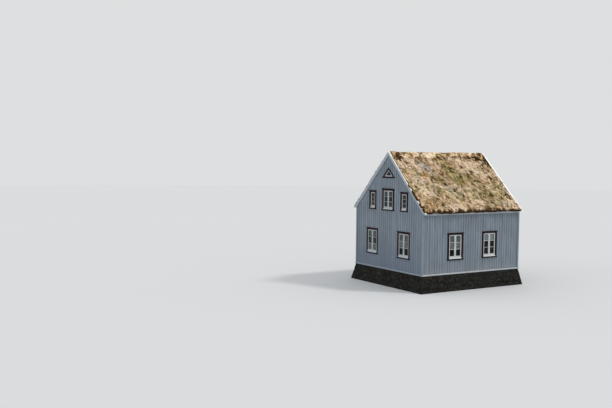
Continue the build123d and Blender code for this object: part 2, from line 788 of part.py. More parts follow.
make_plinth()
make_floors()
make_gable_wall(-1, "front_wall", "front_gable")
make_gable_wall(1, "back_wall", "back_gable")
make_side_wall(-1, "left_wall")
make_side_wall(1, "right_wall")
make_wall_plates()
make_rafters(-1, "left_rafters")
make_rafters(1, "right_rafters")
make_collars()
make_roof_boards(-1, "left_roof_boards")
make_roof_boards(1, "right_roof_boards")
make_turf(-1, "left_turf")
make_turf(1, "right_turf")
make_ridge_turf()
make_gable_edges()
make_eaves_boards()
make_corner_boards()
make_drip_boards()
make_windows("front", [gable_face(-1)], GABLE_WINDOWS, True)
make_windows("back", [gable_face(1)], GABLE_WINDOWS, True)
make_windows("side", [side_face(-1), side_face(1)], SIDE_WINDOWS, False)
make_door()
make_steps()
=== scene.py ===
import math
import random
from collections import namedtuple

import bmesh
import bpy
import numpy as np
from mathutils import Matrix, Vector, noise


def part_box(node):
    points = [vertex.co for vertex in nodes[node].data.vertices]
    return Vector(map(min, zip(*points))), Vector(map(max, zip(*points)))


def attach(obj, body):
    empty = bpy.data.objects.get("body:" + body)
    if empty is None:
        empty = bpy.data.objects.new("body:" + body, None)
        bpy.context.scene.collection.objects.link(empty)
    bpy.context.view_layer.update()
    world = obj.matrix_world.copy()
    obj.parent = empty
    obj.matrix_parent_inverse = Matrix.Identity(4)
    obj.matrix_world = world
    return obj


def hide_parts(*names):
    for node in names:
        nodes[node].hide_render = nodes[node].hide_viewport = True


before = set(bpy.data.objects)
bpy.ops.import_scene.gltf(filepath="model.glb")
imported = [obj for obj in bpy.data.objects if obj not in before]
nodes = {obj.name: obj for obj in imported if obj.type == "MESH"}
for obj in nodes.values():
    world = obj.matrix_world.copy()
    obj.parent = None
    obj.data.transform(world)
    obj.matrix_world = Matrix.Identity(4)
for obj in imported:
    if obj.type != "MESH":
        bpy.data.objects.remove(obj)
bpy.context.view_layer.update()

random.seed(7)
# Left alone, noise_vector is seeded from the clock and the turf comes out another way each time
noise.seed_set(7)

# Places taken from the frame, in metres
WALL_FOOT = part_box("front_wall")[0].z
HALF_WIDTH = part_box("front_wall")[1].x
FRONT_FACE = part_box("front_wall")[0].y
BACK_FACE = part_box("back_wall")[1].y
MIDDLE_Y = (FRONT_FACE + BACK_FACE) / 2
HALF_LENGTH = (BACK_FACE - FRONT_FACE) / 2
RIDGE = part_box("left_rafters")[1].z
CAP_WIDTH = 0.110
CAP_OUTER_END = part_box("left_barge_caps")[1].y - MIDDLE_Y
CAP_INNER_END = CAP_OUTER_END - CAP_WIDTH

# Roof build-up, rises square to the slope from the underside of the roof boards
SLOPE = math.radians(45)
ROOF_BOARD = 0.022
CAP_TOP = 0.100
BOARD_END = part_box("right_roof_boards")[1].x
TURF_CREST = HALF_WIDTH + 0.110
TURF_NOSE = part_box("right_turf")[1].x
NOSE_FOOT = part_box("right_turf")[0].z

# Grass: blades in a tuft, the spans of their reach, lean and width, tufts in each piece, how their
# shades spread, how deep they root, the height below which they hang, and the paleness below which the
# turf is bare
BLADES_A_TUFT = 5
BLADE_SPANS = ((0.55, 1.0), (0.10, 0.65), (0.040, 0.068))
LONG_TUFTS = 12600
SHORT_TUFTS = 9500
VERGE_TUFTS = 1300
RIDGE_TUFTS = 3000
TUFT_SPREAD = 0.25
ROOT_DEPTH = 0.006
DROOP_BELOW = RIDGE - TURF_CREST + 0.26
BARE_BELOW = 0.22

# Wall dressing. Battens lie half a space and whole spaces from the middle of a wall; along X they are
# on the gables, along Y on the sides
BATTEN_PITCH = {"X": 0.177, "Y": 0.1665}
BATTENS_A_WALL = {"X": 30, "Y": 36}
BATTEN_WIDTH = 0.044
BATTEN_THICKNESS = 0.018
BATTEN_WANDER = 0.007
BATTEN_FOOT = 0.070
EAVES_BOARD_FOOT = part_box("eaves_boards")[0].z - WALL_FOOT

# Windows over their casings: middle, foot above the wall's foot, width, height, whether they have two
# lights, and how pale a painted reflection their panes have, from the sill up
Window = namedtuple("Window", "middle foot width height paired haze")
LOWER_WINDOW = (0.698, 1.020, 1.356, True)
SMALL_WINDOW = (3.052, 0.603, 0.982, False)
UPPER_WINDOW = (3.037, 0.986, 1.127, True)
GABLE_WINDOWS = [
    Window(-1.322, *LOWER_WINDOW, (0.60, 0.15, 0.40)),
    Window(1.322, *LOWER_WINDOW, (0.00, 0.60, 0.45)),
    Window(-1.315, *SMALL_WINDOW, (0.25, 0.20, 0.15)),
    Window(0.0, *UPPER_WINDOW, (0.18, 0.10, 0.30)),
    Window(1.315, *SMALL_WINDOW, (0.15, 0.10, 0.20)),
]
SIDE_WINDOWS = [
    Window(-1.146, *LOWER_WINDOW, (0.00, 0.60, 0.45)),
    Window(1.146, *LOWER_WINDOW, (0.05, 0.03, 0.80)),
]
CASING_EAR = 0.020
HEAD_BOARD = 0.035
HOLE_INSET = 0.095
STILE = 0.060
BOTTOM_RAIL = 0.095
MULLION = 0.100
TRIANGLE_WIDTH = 1.096
TRIANGLE_FOOT = 4.700
TRIANGLE_INSET = 0.070
TRIANGLE_PAINTED_REFLECTION = 0.05
PANES_A_LIGHT = 3
PANE_SET_BACK = 0.030
PANE_THICKNESS = 0.004
PANE_LEAN = 0.7
BAR = 0.024
BAR_DEPTH = 0.034
CASEMENT_EDGE = 0.034
CASEMENT_DEPTH = 0.034
WEATHER_BOARD = {
    "foot": 0.058, "head": 0.118, "proud": 0.045, "slope": 0.022, "fall": 0.012,
    "inset": 0.012, "root": 0.004,
}

# The door's hole with its frame: half its width, and its head above the wall's foot
DOOR_REACH = 0.540
DOOR_HEAD = 2.054

# Plinth, and the rubble on its faces: rows, spacing along them, how flat the stones are, the joints, how
# deep they sit and how far they stand out, the lap at the corners, the least area and the size of a blank
PLINTH_BATTER = 0.180
RUBBLE_ROWS = (0.10, 0.31, 0.52, 0.73)
RUBBLE_STEP = (0.26, 0.52)
RUBBLE_FLATNESS = 0.6
RUBBLE_JOINT = 0.012
STONE_ROOT = 0.05
STONE_PROUD = (0.010, 0.034)
CORNER_LAP = 0.02
LEAST_STONE = 0.004
STONE_BLANK = 1.6

# Steps: stones in each course from the ground up, rise, tread, half the width, and how the stones differ
STEP_COURSES = (2, 3, 2)
STEP_RISE = 0.240
STEP_TREAD = 0.260
STEPS_REACH = 0.650
STEP_WANDER = 0.09
STEP_JOINT = 0.004
STEP_NOSE = 0.016
STEP_WEAR = 0.009

# Walls: the way they face, their distance from the middle of the house and the axis that they follow
WALLS = {
    "front": (0, HALF_LENGTH, "X"),
    "right": (90, HALF_WIDTH, "Y"),
    "back": (180, HALF_LENGTH, "X"),
    "left": (270, HALF_WIDTH, "Y"),
}
MIDDLE = {"X": 0.0, "Y": MIDDLE_Y}


def wall_place(word):
    """Turns a piece made for a wall that faces -Y, its foot at the origin, to that wall."""
    angle, distance, _ = WALLS[word]
    turn = Matrix.Rotation(math.radians(angle), 4, "Z")
    middle = Matrix.Translation((0, MIDDLE_Y, WALL_FOOT))
    return middle @ turn @ Matrix.Translation((0, -distance, 0))


# Making tools
def choose_only(piece):
    """Selects one piece and nothing else."""
    bpy.ops.object.select_all(action="DESELECT")
    piece.select_set(True)
    bpy.context.view_layer.objects.active = piece


def settle(piece, name):
    """Puts the piece's place into its mesh and names it."""
    choose_only(piece)
    bpy.ops.object.transform_apply(location=True, rotation=True, scale=True)
    piece.name = name
    return piece


def block(name, low, high):
    """A cuboid between two corners."""
    low, high = Vector(low), Vector(high)
    bpy.ops.object.select_all(action="DESELECT")
    bpy.ops.mesh.primitive_cube_add(size=1, location=(low + high) / 2)
    piece = bpy.context.object
    piece.scale = high - low
    return settle(piece, name)


def work_on(piece, kind="VERT", everything=False):
    """Opens a piece in edit mode, with nothing or everything chosen."""
    choose_only(piece)
    bpy.ops.object.mode_set(mode="EDIT")
    bpy.ops.mesh.select_mode(type=kind)
    bpy.ops.mesh.select_all(action="SELECT" if everything else "DESELECT")


def leave():
    bpy.ops.object.mode_set(mode="OBJECT")


def pick(piece, test, kind="verts"):
    """Selects the vertices or faces that pass a test, in edit mode."""
    mesh = bmesh.from_edit_mesh(piece.data)
    for part in getattr(mesh, kind):
        part.select_set(test(part))
    mesh.select_flush_mode()
    bmesh.update_edit_mesh(piece.data)


def finish_with(piece, kind, **settings):
    """Adds a modifier and applies it."""
    choose_only(piece)
    modifier = piece.modifiers.new(kind.lower(), kind)
    for key, value in settings.items():
        setattr(modifier, key, value)
    bpy.ops.object.modifier_apply(modifier=modifier.name)
    return piece


def ease_edges(piece, width, segments=1):
    return finish_with(piece, "BEVEL", width=width, segments=segments, limit_method="ANGLE")


def join(name, pieces):
    """One piece of several."""
    bpy.ops.object.select_all(action="DESELECT")
    for piece in pieces:
        piece.select_set(True)
    bpy.context.view_layer.objects.active = pieces[0]
    if len(pieces) > 1:
        bpy.ops.object.join()
    pieces[0].name = name
    return pieces[0]


def drop(piece):
    bpy.data.objects.remove(piece)


def close_top(piece, level):
    """Brings what lies above a level together over the middle, so that a block becomes a prism."""
    work_on(piece)
    pick(piece, lambda v: v.co.z > level)
    bpy.ops.transform.resize(value=(0, 1, 1), center_override=(0, 0, 0))
    bpy.ops.mesh.select_all(action="SELECT")
    bpy.ops.mesh.remove_doubles()
    leave()
    return piece


def smooth(piece, angle=40):
    choose_only(piece)
    bpy.ops.object.shade_smooth_by_angle(angle=math.radians(angle))


def fit_out(piece, finish, slot, *stands_for):
    """Gives a finished piece its finish and fixes it to the house."""
    piece.data.materials.clear()
    piece.data.materials.append(finish)
    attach(piece, "root")
    if stands_for:
        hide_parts(*stands_for)


def mesh_piece(name, points, faces):
    """A piece from arrays of points and faces."""
    mesh = bpy.data.meshes.new(name)
    mesh.from_pydata(points, [], faces)
    piece = bpy.data.objects.new(name, mesh)
    bpy.context.collection.objects.link(piece)
    return piece


def points_of(piece):
    found = np.empty(len(piece.data.vertices) * 3)
    piece.data.vertices.foreach_get("co", found)
    return found.reshape(-1, 3)


def place_points(piece, points):
    piece.data.vertices.foreach_set("co", np.asarray(points, dtype=np.float32).ravel())
    piece.data.update()


def faces_of(piece):
    return [list(face.vertices) for face in piece.data.polygons]


def ease(value, low, high):
    """Goes smoothly from 0 at low to 1 at high."""
    share = min(1.0, max(0.0, (value - low) / (high - low)))
    return share * share * (3 - 2 * share)


# Finishes
def tint(red, green, blue):
    """A colour as it looks, 0 to 255, as the light it stands for."""
    parts = [value / 255 for value in (red, green, blue)]
    return [p / 12.92 if p < 0.04045 else ((p + 0.055) / 1.055) ** 2.4 for p in parts] + [1.0]


class Finish:
    """A finish made of nodes on the piece's own coordinates."""

    def __init__(self, name, roughness=0.7, gloss=0.5):
        self.material = bpy.data.materials.new(name)
        self.material.use_nodes = True
        self.tree = self.material.node_tree
        self.surface = self.tree.nodes["Principled BSDF"]
        self.surface.inputs["Roughness"].default_value = roughness
        self.surface.inputs["Specular IOR Level"].default_value = gloss
        self.place = self.node("ShaderNodeTexCoord").outputs["Object"]
        self.normal = None

    def node(self, kind, **settings):
        made = self.tree.nodes.new(kind)
        for name, value in settings.items():
            setattr(made, name, value)
        return made

    def put(self, source, socket):
        if isinstance(source, bpy.types.NodeSocket):
            self.tree.links.new(source, socket)
        else:
            socket.default_value = source

    def math(self, operation, first, second=0.0):
        made = self.node("ShaderNodeMath", operation=operation)
        self.put(first, made.inputs[0])
        self.put(second, made.inputs[1])
        return made.outputs[0]

    def stretched(self, scale):
        made = self.node("ShaderNodeMapping")
        self.put(self.place, made.inputs["Vector"])
        made.inputs["Scale"].default_value = scale
        return made.outputs[0]

    def noise(self, scale, detail=3.0, rough=0.55, warp=0.0):
        """Clouds: scale is one number, or one for each axis."""
        if isinstance(scale, tuple):
            source, scale = self.stretched(scale), 1.0
        else:
            source = self.place
        made = self.node("ShaderNodeTexNoise")
        self.put(source, made.inputs["Vector"])
        made.inputs["Scale"].default_value = scale
        made.inputs["Detail"].default_value = detail
        made.inputs["Roughness"].default_value = rough
        made.inputs["Distortion"].default_value = warp
        return made.outputs["Fac"]

    def cells(self, scale):
        made = self.node("ShaderNodeTexVoronoi")
        self.put(self.stretched(scale), made.inputs["Vector"])
        made.inputs["Scale"].default_value = 1.0
        return made.outputs["Distance"]

    def axis(self, letter):
        made = self.node("ShaderNodeSeparateXYZ")
        self.put(self.place, made.inputs[0])
        return made.outputs[letter]

    def each(self, letter, pitch, shift=0.0):
        """A steady random number for each board along an axis."""
        number = self.math("FLOOR", self.math("DIVIDE", self.math("ADD", self.axis(letter), shift), pitch))
        made = self.node("ShaderNodeTexWhiteNoise", noise_dimensions="1D")
        self.put(number, made.inputs["W"])
        return made.outputs["Value"]

    def between(self, value, low, high, start=0.0, end=1.0):
        made = self.node("ShaderNodeMapRange", interpolation_type="SMOOTHSTEP")
        for source, socket in zip((value, low, high, start, end), made.inputs):
            self.put(source, socket)
        return made.outputs[0]

    def mix(self, share, first, second):
        made = self.node("ShaderNodeMix", data_type="RGBA")
        self.put(share, made.inputs["Factor"])
        self.put(first, made.inputs["A"])
        self.put(second, made.inputs["B"])
        return made.outputs["Result"]

    def ramp(self, value, *colours):
        """Colours in even steps from 0 to 1."""
        made = self.node("ShaderNodeValToRGB")
        self.put(value, made.inputs["Fac"])
        stops = made.color_ramp.elements
        for n, colour in enumerate(colours):
            stop = stops[n] if n < 2 else stops.new(1.0)
            stop.position = n / (len(colours) - 1)
            stop.color = colour
        return made.outputs["Color"]

    def dim(self, colour, share):
        """The colour times a number."""
        made = self.node("ShaderNodeMix", data_type="RGBA", blend_type="MULTIPLY")
        made.inputs["Factor"].default_value = 1.0
        self.put(colour, made.inputs["A"])
        self.put(share if isinstance(share, bpy.types.NodeSocket) else (share,) * 4, made.inputs["B"])
        return made.outputs["Result"]

    def vary(self, colour, value, *span):
        """The colour, dimmed by a number that follows a value as between() says."""
        return self.dim(colour, self.between(value, *span))

    def cover(self, colour, patches, strength, other):
        """The colour, with another over it in patches."""
        return self.mix(self.math("MULTIPLY", patches, strength), colour, other)

    def relief(self, height, depth):
        """Adds a height, in metres at full value, on what is there."""
        made = self.node("ShaderNodeBump")
        made.inputs["Distance"].default_value = depth
        self.put(height, made.inputs["Height"])
        if self.normal:
            self.put(self.normal, made.inputs["Normal"])
        self.normal = made.outputs[0]

    def done(self, colour, rough=None):
        self.put(colour, self.surface.inputs["Base Color"])
        if rough is not None:
            self.put(rough, self.surface.inputs["Roughness"])
        if self.normal:
            self.put(self.normal, self.surface.inputs["Normal"])
        return self.material


def wall_paint(name, axis, joint, shade):
    """Blue-grey oil paint on upright boards or battens, each its own shade, chalked and streaked; at the foot
    darker and bluer up the gables as painted shade, worn paler on the sides. Shades change under the battens
    at joint 0.5, midway between them at 0."""
    f = Finish(name)
    board = f.each(axis, BATTEN_PITCH[axis], joint * BATTEN_PITCH[axis] - MIDDLE[axis])
    grain = f.noise((170, 170, 5), 4, 0.6)
    streak = f.noise((11, 11, 0.9), 3)
    cloud = f.noise(1.3, 3)
    base = f.vary(WALL_BLUE, board, 0, 1, 0.92 * shade, 1.06 * shade)
    base = f.vary(base, streak, 0.3, 0.75, 0.88, 1.06)
    base = f.vary(base, cloud, 0.3, 0.7, 0.91, 1.08)
    flakes = f.between(f.noise((60, 60, 9), 5, 0.7), 0.66, 0.74)
    base = f.cover(base, flakes, 0.45, WORN_BLUE)
    height = f.math("SUBTRACT", f.axis("Z"), WALL_FOOT)
    # Streaked at the foot: painted shade, darker and bluer, up the gables; worn paint, paler, on the sides
    low_down = f.between(height, 0.05, FOOT_SHADE_AND_WEAR_REACH[axis], 1, 0)
    foot_shade_and_wear = f.math("MULTIPLY", low_down, f.between(streak, 0.35, 0.6, 0.3, 0.9))
    base = f.cover(base, foot_shade_and_wear, 0.55, FOOT_SHADE_AND_WEAR[axis])
    f.relief(grain, 0.0007)
    f.relief(flakes, 0.0004)
    return f, base, f.between(cloud, 0.3, 0.7, 0.55, 0.72)


def slab_paint(name, axis):
    """The wall boards: painted outside, bare lining boards inside."""
    # The boards' paint is dimmed to 0.80 against the battens' 1.16: painted shade between the battens
    f, base, rough = wall_paint(name, axis, 0.5, 0.80)
    inside = f.math(
        "MULTIPLY",
        f.between(f.math("ABSOLUTE", f.axis("X")), *INNER_HALF[axis]["X"], 1, 0),
        f.between(from_middle(f), *INNER_HALF[axis]["Y"], 1, 0),
    )
    lining = f.vary(tint(150, 126, 96), f.each(axis, LINING_BOARD, HALF_LENGTH), 0, 1, 0.82, 1.08)
    lining = f.vary(lining, f.noise((60, 60, 3), 4), 0.3, 0.7, 0.85, 1.1)
    return f.done(f.mix(inside, base, lining), rough)


def batten_finish(name, axis):
    # Raised to 1.16 against the boards' 0.80: painted light on the battens' faces, which are the boards'
    # paint
    f, base, rough = wall_paint(name, axis, 0.0, 1.16)
    return f.done(base, rough)


def plain_paint(name, colour, grain_scale, worn, wear=0.5, roughness=(0.45, 0.6), gloss=0.5):
    """Oil paint on planed trim, brushed along the grain, worn through in specks."""
    f = Finish(name, gloss=gloss)
    grain = f.noise(grain_scale, 4, 0.6)
    cloud = f.noise(2.1, 3)
    base = f.vary(colour, cloud, 0.3, 0.7, 0.9, 1.06)
    base = f.vary(base, grain, 0.3, 0.7, 0.94, 1.04)
    flakes = f.between(f.noise(38, 6, 0.7), 0.70 - 0.1 * wear, 0.78 - 0.1 * wear)
    base = f.cover(base, flakes, 0.7, worn)
    f.relief(grain, 0.0006)
    f.relief(flakes, -0.0005)
    return f.done(base, f.between(cloud, 0.3, 0.7, *roughness))


def two_tones(name, measure, low, high, first, second):
    """Two colours that meet where a measure of the place goes from low to high."""
    f = Finish(name)
    grain = f.noise((20, 60, 20), 4, 0.6)
    base = f.mix(f.between(measure(f), low, high), first, second)
    base = f.vary(base, grain, 0.3, 0.7, 0.93, 1.03)
    flakes = f.between(f.noise(38, 6, 0.7), 0.64, 0.72)
    base = f.cover(base, flakes, 0.6, BARE_WOOD)
    f.relief(grain, 0.0006)
    f.relief(flakes, -0.0005)
    return f.done(base, f.between(grain, 0.3, 0.7, 0.45, 0.6))


def from_middle(f):
    return f.math("ABSOLUTE", f.math("SUBTRACT", f.axis("Y"), MIDDLE_Y))


def above_roof(f):
    """Upright height over the plane of the rafters' upper faces."""
    return f.math("SUBTRACT", f.math("ADD", f.axis("Z"), f.math("ABSOLUTE", f.axis("X"))), RIDGE)


def timber(name, colour, grain_scale, pitch=None, axis="X"):
    """Bare sawn softwood, darkened with age, in boards where a pitch is given."""
    f = Finish(name)
    grain = f.noise(grain_scale, 5, 0.65, 0.6)
    cloud = f.noise(1.7, 3)
    base = f.mix(f.between(grain, 0.35, 0.68), colour, f.dim(colour, 0.55))
    base = f.vary(base, cloud, 0.3, 0.7, 0.85, 1.12)
    knots = f.between(f.cells((3.1, 3.7, 2.9)), 0.03, 0.07, 1, 0)
    base = f.cover(base, knots, 0.7, tint(70, 48, 30))
    if pitch:
        base = f.vary(base, f.each(axis, pitch, 4.0), 0, 1, 0.8, 1.1)
        place = f.math("FRACT", f.math("DIVIDE", f.math("ADD", f.axis(axis), 4.0), pitch))
        gap = f.between(f.math("ABSOLUTE", f.math("SUBTRACT", place, 0.5)), 0.485, 0.498)
        base = f.mix(gap, base, tint(34, 26, 18))
        f.relief(gap, -0.003)
    f.relief(grain, 0.0008)
    return f.done(base, f.between(grain, 0.3, 0.7, 0.62, 0.8))


def field_stone(name, dark, light, lichen_share):
    """Basalt: mottled and pitted, with crusts of lichen."""
    f = Finish(name, 0.85, 0.12)
    mottle = f.noise(9, 6, 0.62)
    fine = f.noise(60, 5, 0.7)
    big = f.noise(2.3, 2)
    base = f.mix(f.between(mottle, 0.34, 0.68), dark, light)
    base = f.vary(base, big, 0.3, 0.7, 0.72, 1.2)
    base = f.vary(base, fine, 0.3, 0.7, 0.8, 1.15)
    crusts = f.between(f.noise(17, 5, 0.7), 0.60, 0.66)
    lichen = f.math("MULTIPLY", crusts, f.between(f.noise(3.1, 2), 0.5, 0.62))
    base = f.cover(base, lichen, lichen_share, tint(138, 136, 118))
    moss = f.between(f.noise(5.3, 4, 0.6), 0.62, 0.72)
    base = f.cover(base, moss, 0.35, tint(70, 72, 40))
    f.relief(mottle, 0.010)
    f.relief(fine, 0.0035)
    return f.done(base, f.between(fine, 0.3, 0.7, 0.75, 0.95))


def packing_earth():
    """Earth and moss packed between the stones."""
    f = Finish("packing_earth", 0.95, 0.1)
    crumbs = f.noise(45, 6, 0.7)
    base = f.mix(f.between(crumbs, 0.35, 0.7), tint(18, 16, 13), tint(44, 40, 32))
    base = f.mix(f.between(f.noise(6, 4), 0.55, 0.7), base, tint(42, 44, 26))
    f.relief(crumbs, 0.012)
    return f.done(base)


# What grows on the turf, each from wet and dark to dry and bleached; its darkest and palest steps also give
# painted shade and highlight
STRAW = ((40, 27, 14), (97, 70, 34), (172, 141, 96), (224, 197, 163), (247, 234, 216))
MOSS = ((20, 19, 10), (78, 72, 32), (132, 119, 60), (176, 163, 96), (214, 204, 146))
OCHRE = ((30, 18, 8), (108, 76, 38), (172, 132, 80), (212, 170, 118), (236, 206, 164))
GREY = ((24, 22, 20), (88, 83, 77), (152, 146, 137), (196, 188, 178), (230, 224, 215))


def turf_colour(f, stray):
    """What grows where, from the values on the mesh: dead grass from wet soil to bleached straw,
    moss, ochre seed heads and grey lichen, each darker and paler with the turf and with the painted shade and
    highlight in its paleness."""
    made = f.node("ShaderNodeAttribute", attribute_name="growth")
    split = f.node("ShaderNodeSeparateColor")
    f.put(made.outputs["Color"], split.inputs[0])
    pale = f.math("ADD", made.outputs["Alpha"], stray)
    straw, moss, ochre, grey = (
        f.ramp(pale, *[tint(*colour) for colour in growth]) for growth in (STRAW, MOSS, OCHRE, GREY)
    )
    base = f.mix(split.outputs[2], straw, grey)
    base = f.mix(split.outputs[1], base, ochre)
    return f.mix(split.outputs[0], base, moss)


def sod():
    """The turf's bed: matted dead grass and moss over dark peaty soil."""
    f = Finish("sod", 0.95, 0.1)
    mat = f.noise(26, 6, 0.72, 0.5)
    fine = f.noise(120, 4, 0.7)
    f.relief(mat, 0.022)
    f.relief(fine, 0.006)
    return f.done(turf_colour(f, f.between(mat, 0.3, 0.7, -0.20, 0.14)))


def dry_grass():
    """Grass blades, each its own shade of what grows there."""
    f = Finish("dry_grass", 0.75, 0.15)
    return f.done(turf_colour(f, f.between(f.noise(60, 2), 0.3, 0.7, -0.10, 0.10)))


def old_glass():
    """Thin drawn glass, faintly green and not quite flat, its upper panes made pale by a painted reflection.
    """
    f = Finish("old_glass", 0.04)
    haze = f.node("ShaderNodeAttribute", attribute_name="haze").outputs["Fac"]
    dust = f.noise(5, 5, 0.7)
    # Pale where a painted reflection is given, dark where the glass is clear
    base = f.mix(haze, tint(26, 32, 32), tint(236, 246, 244))
    base = f.vary(base, dust, 0.3, 0.75, 0.85, 1.1)
    f.relief(f.noise((3, 3, 2), 1), 0.004)
    f.surface.inputs["Transmission Weight"].default_value = 0.82
    f.surface.inputs["IOR"].default_value = 1.2
    return f.done(base, f.between(dust, 0.45, 0.8, 0.03, 0.12))


def forged_iron():
    f = Finish("forged_iron", 0.5)
    rust = f.between(f.noise(60, 5, 0.7), 0.5, 0.7)
    f.surface.inputs["Metallic"].default_value = 0.7
    f.relief(f.noise(90, 4), 0.001)
    return f.done(f.mix(rust, tint(44, 42, 42), tint(92, 58, 38)), f.between(rust, 0, 1, 0.4, 0.8))


# Half the rooms' reach, for walls across the house and along it, each as low and high ends of a step
LINING_BOARD = 0.12
INNER_HALF = {
    "X": {"X": (HALF_WIDTH - 0.020, HALF_WIDTH - 0.018), "Y": (HALF_LENGTH - 0.076, HALF_LENGTH - 0.074)},
    "Y": {"X": (HALF_WIDTH - 0.076, HALF_WIDTH - 0.074), "Y": (HALF_LENGTH, HALF_LENGTH + 0.002)},
}

WALL_BLUE = tint(121, 132, 143)
WORN_BLUE = tint(142, 144, 141)
TRIM_BLUE = tint(116, 127, 138)
RED_BROWN = tint(33, 13, 19)
# At the walls' foot: on the gables darker and bluer up to 2.2 m, painted shade; on the sides paler and greyer
# up to 0.55 m, worn paint
FOOT_SHADE_AND_WEAR = {"X": tint(84, 99, 119), "Y": tint(134, 136, 142)}
FOOT_SHADE_AND_WEAR_REACH = {"X": 2.2, "Y": 0.55}
# The gables' sashes are given a darker white than the sides': painted shade
SASH_WHITE = {"X": tint(164, 169, 173), "Y": tint(187, 192, 194)}
BARE_WOOD = tint(112, 104, 92)

UP = (70, 70, 3)
ALONG_Y = (70, 3, 70)
ALONG_X = (3, 70, 70)

gable_boards = slab_paint("wall_boards_gable", "X")
side_boards = slab_paint("wall_boards_side", "Y")
batten_paint = {"X": batten_finish("battens_gable", "X"), "Y": batten_finish("battens_side", "Y")}
# The corner boards' blue is a little darker than the walls': painted shade, like the battens' shadows on the
# walls
corner_paint = plain_paint("corner_paint", TRIM_BLUE, UP, BARE_WOOD)
# The eaves boards are much paler than the walls: pale paint, and painted sunlight
eaves_paint = plain_paint("eaves_paint", tint(178, 184, 189), ALONG_Y, BARE_WOOD, 0.8)
# The gables' drip boards are given the wall blue, as painted shade; the sides' a paler grey, partly painted
# sunlight
drip_paint_gable = plain_paint("drip_paint_gable", WALL_BLUE, ALONG_X, WORN_BLUE, 0.4)
drip_paint_side = plain_paint("drip_paint_side", tint(160, 166, 170), ALONG_Y, BARE_WOOD, 0.8)
# The bargeboards' undersides and lowest edge are pale: painted light against their shade; their faces are
# pale grey-blue
barge_paint = two_tones("barge_paint", above_roof, -0.060, -0.056, tint(190, 197, 203), tint(148, 155, 161))
cap_edge = (CAP_OUTER_END - 0.004, CAP_OUTER_END - 0.001)
cap_paint = two_tones("cap_paint", from_middle, *cap_edge, tint(240, 240, 236), tint(172, 176, 180))
casing_paint = plain_paint("casing_paint", RED_BROWN, UP, tint(84, 60, 58), 0.3, (0.4, 0.6), 0.1)
sash_paint = {
    axis: plain_paint(name, SASH_WHITE[axis], UP, tint(140, 134, 122), 0.4, (0.35, 0.5))
    for axis, name in (("X", "sash_paint_gable"), ("Y", "sash_paint_side"))
}
door_paint = plain_paint("door_paint", tint(56, 28, 32), UP, tint(92, 64, 60), 0.4, (0.38, 0.58), 0.3)
floor_timber = timber("floor_timber", tint(150, 122, 88), (45, 3, 45), 0.16, "X")
frame_timber = timber("frame_timber", tint(136, 108, 76), (4, 60, 60))
plate_timber = timber("plate_timber", tint(136, 108, 76), (60, 4, 60))
rafter_timber = timber("rafter_timber", tint(130, 104, 74), (18, 70, 18))
deck_timber = timber("deck_timber", tint(122, 100, 74), (60, 4, 60), 0.11, "Z")
# The plinth's basalt is much darker than the steps': dark stone, and painted shade
plinth_rock = field_stone("plinth_rock", tint(12, 13, 12), tint(45, 44, 42), 0.3)
step_rock = field_stone("step_rock", tint(70, 67, 62), tint(116, 112, 104), 0.6)
joint_earth = packing_earth()
sod_finish = sod()
grass_finish = dry_grass()
glass_finish = old_glass()
iron_finish = forged_iron()

CARRIED_OVER = {
    gable_boards: ["front_wall", "back_wall", "front_gable", "back_gable"],
    side_boards: ["left_wall", "right_wall"],
    corner_paint: ["corner_boards"],
    eaves_paint: ["eaves_boards"],
    drip_paint_gable: ["gable_drip_boards"],
    drip_paint_side: ["side_drip_boards"],
    barge_paint: ["left_bargeboards", "right_bargeboards"],
    cap_paint: ["left_barge_caps", "right_barge_caps"],
    casing_paint: ["front_casings", "back_casings", "side_casings", "door_frame"],
    sash_paint["X"]: ["front_sashes", "back_sashes"],
    sash_paint["Y"]: ["side_sashes"],
    floor_timber: ["ground_floor", "attic_floor"],
    frame_timber: ["ground_joists", "attic_beams", "collar_beams"],
    plate_timber: ["wall_plates"],
    rafter_timber: ["left_rafters", "right_rafters"],
    deck_timber: ["left_roof_boards", "right_roof_boards"],
    joint_earth: ["plinth_front", "plinth_back", "plinth_left", "plinth_right"],
}


def paint_carried_over():
    for finish, names in CARRIED_OVER.items():
        for name in names:
            nodes[name].data.materials.clear()
            nodes[name].data.materials.append(finish)


# Battens over the joints of the wall boards
def cutter(left, right, low, high):
    """A block that reaches through a wall's dressing."""
    return block("cut", (left, -0.1, low), (right, 0.1, high))


def window_cutters(windows):
    """Solids as large as the casings with their head boards and sills."""
    solids = []
    for window in windows:
        head = window.foot + window.height
        for ear, low, high in (
            (0.0, window.foot, head),
            (CASING_EAR, window.foot, window.foot + HEAD_BOARD),
            (CASING_EAR, head - HEAD_BOARD, head),
        ):
            reach = window.width / 2 + ear
            solids.append(cutter(window.middle - reach, window.middle + reach, low, high))
    return solids


def triangle_cutter():
    """A prism as large as the casing of the triangular window."""
    reach = TRIANGLE_WIDTH / 2
    return close_top(cutter(-reach, reach, TRIANGLE_FOOT, TRIANGLE_FOOT + reach), TRIANGLE_FOOT + 0.1)


def cut_away(piece, solids):
    for solid in solids:
        finish_with(piece, "BOOLEAN", operation="DIFFERENCE", object=solid, solver="EXACT")
        drop(solid)


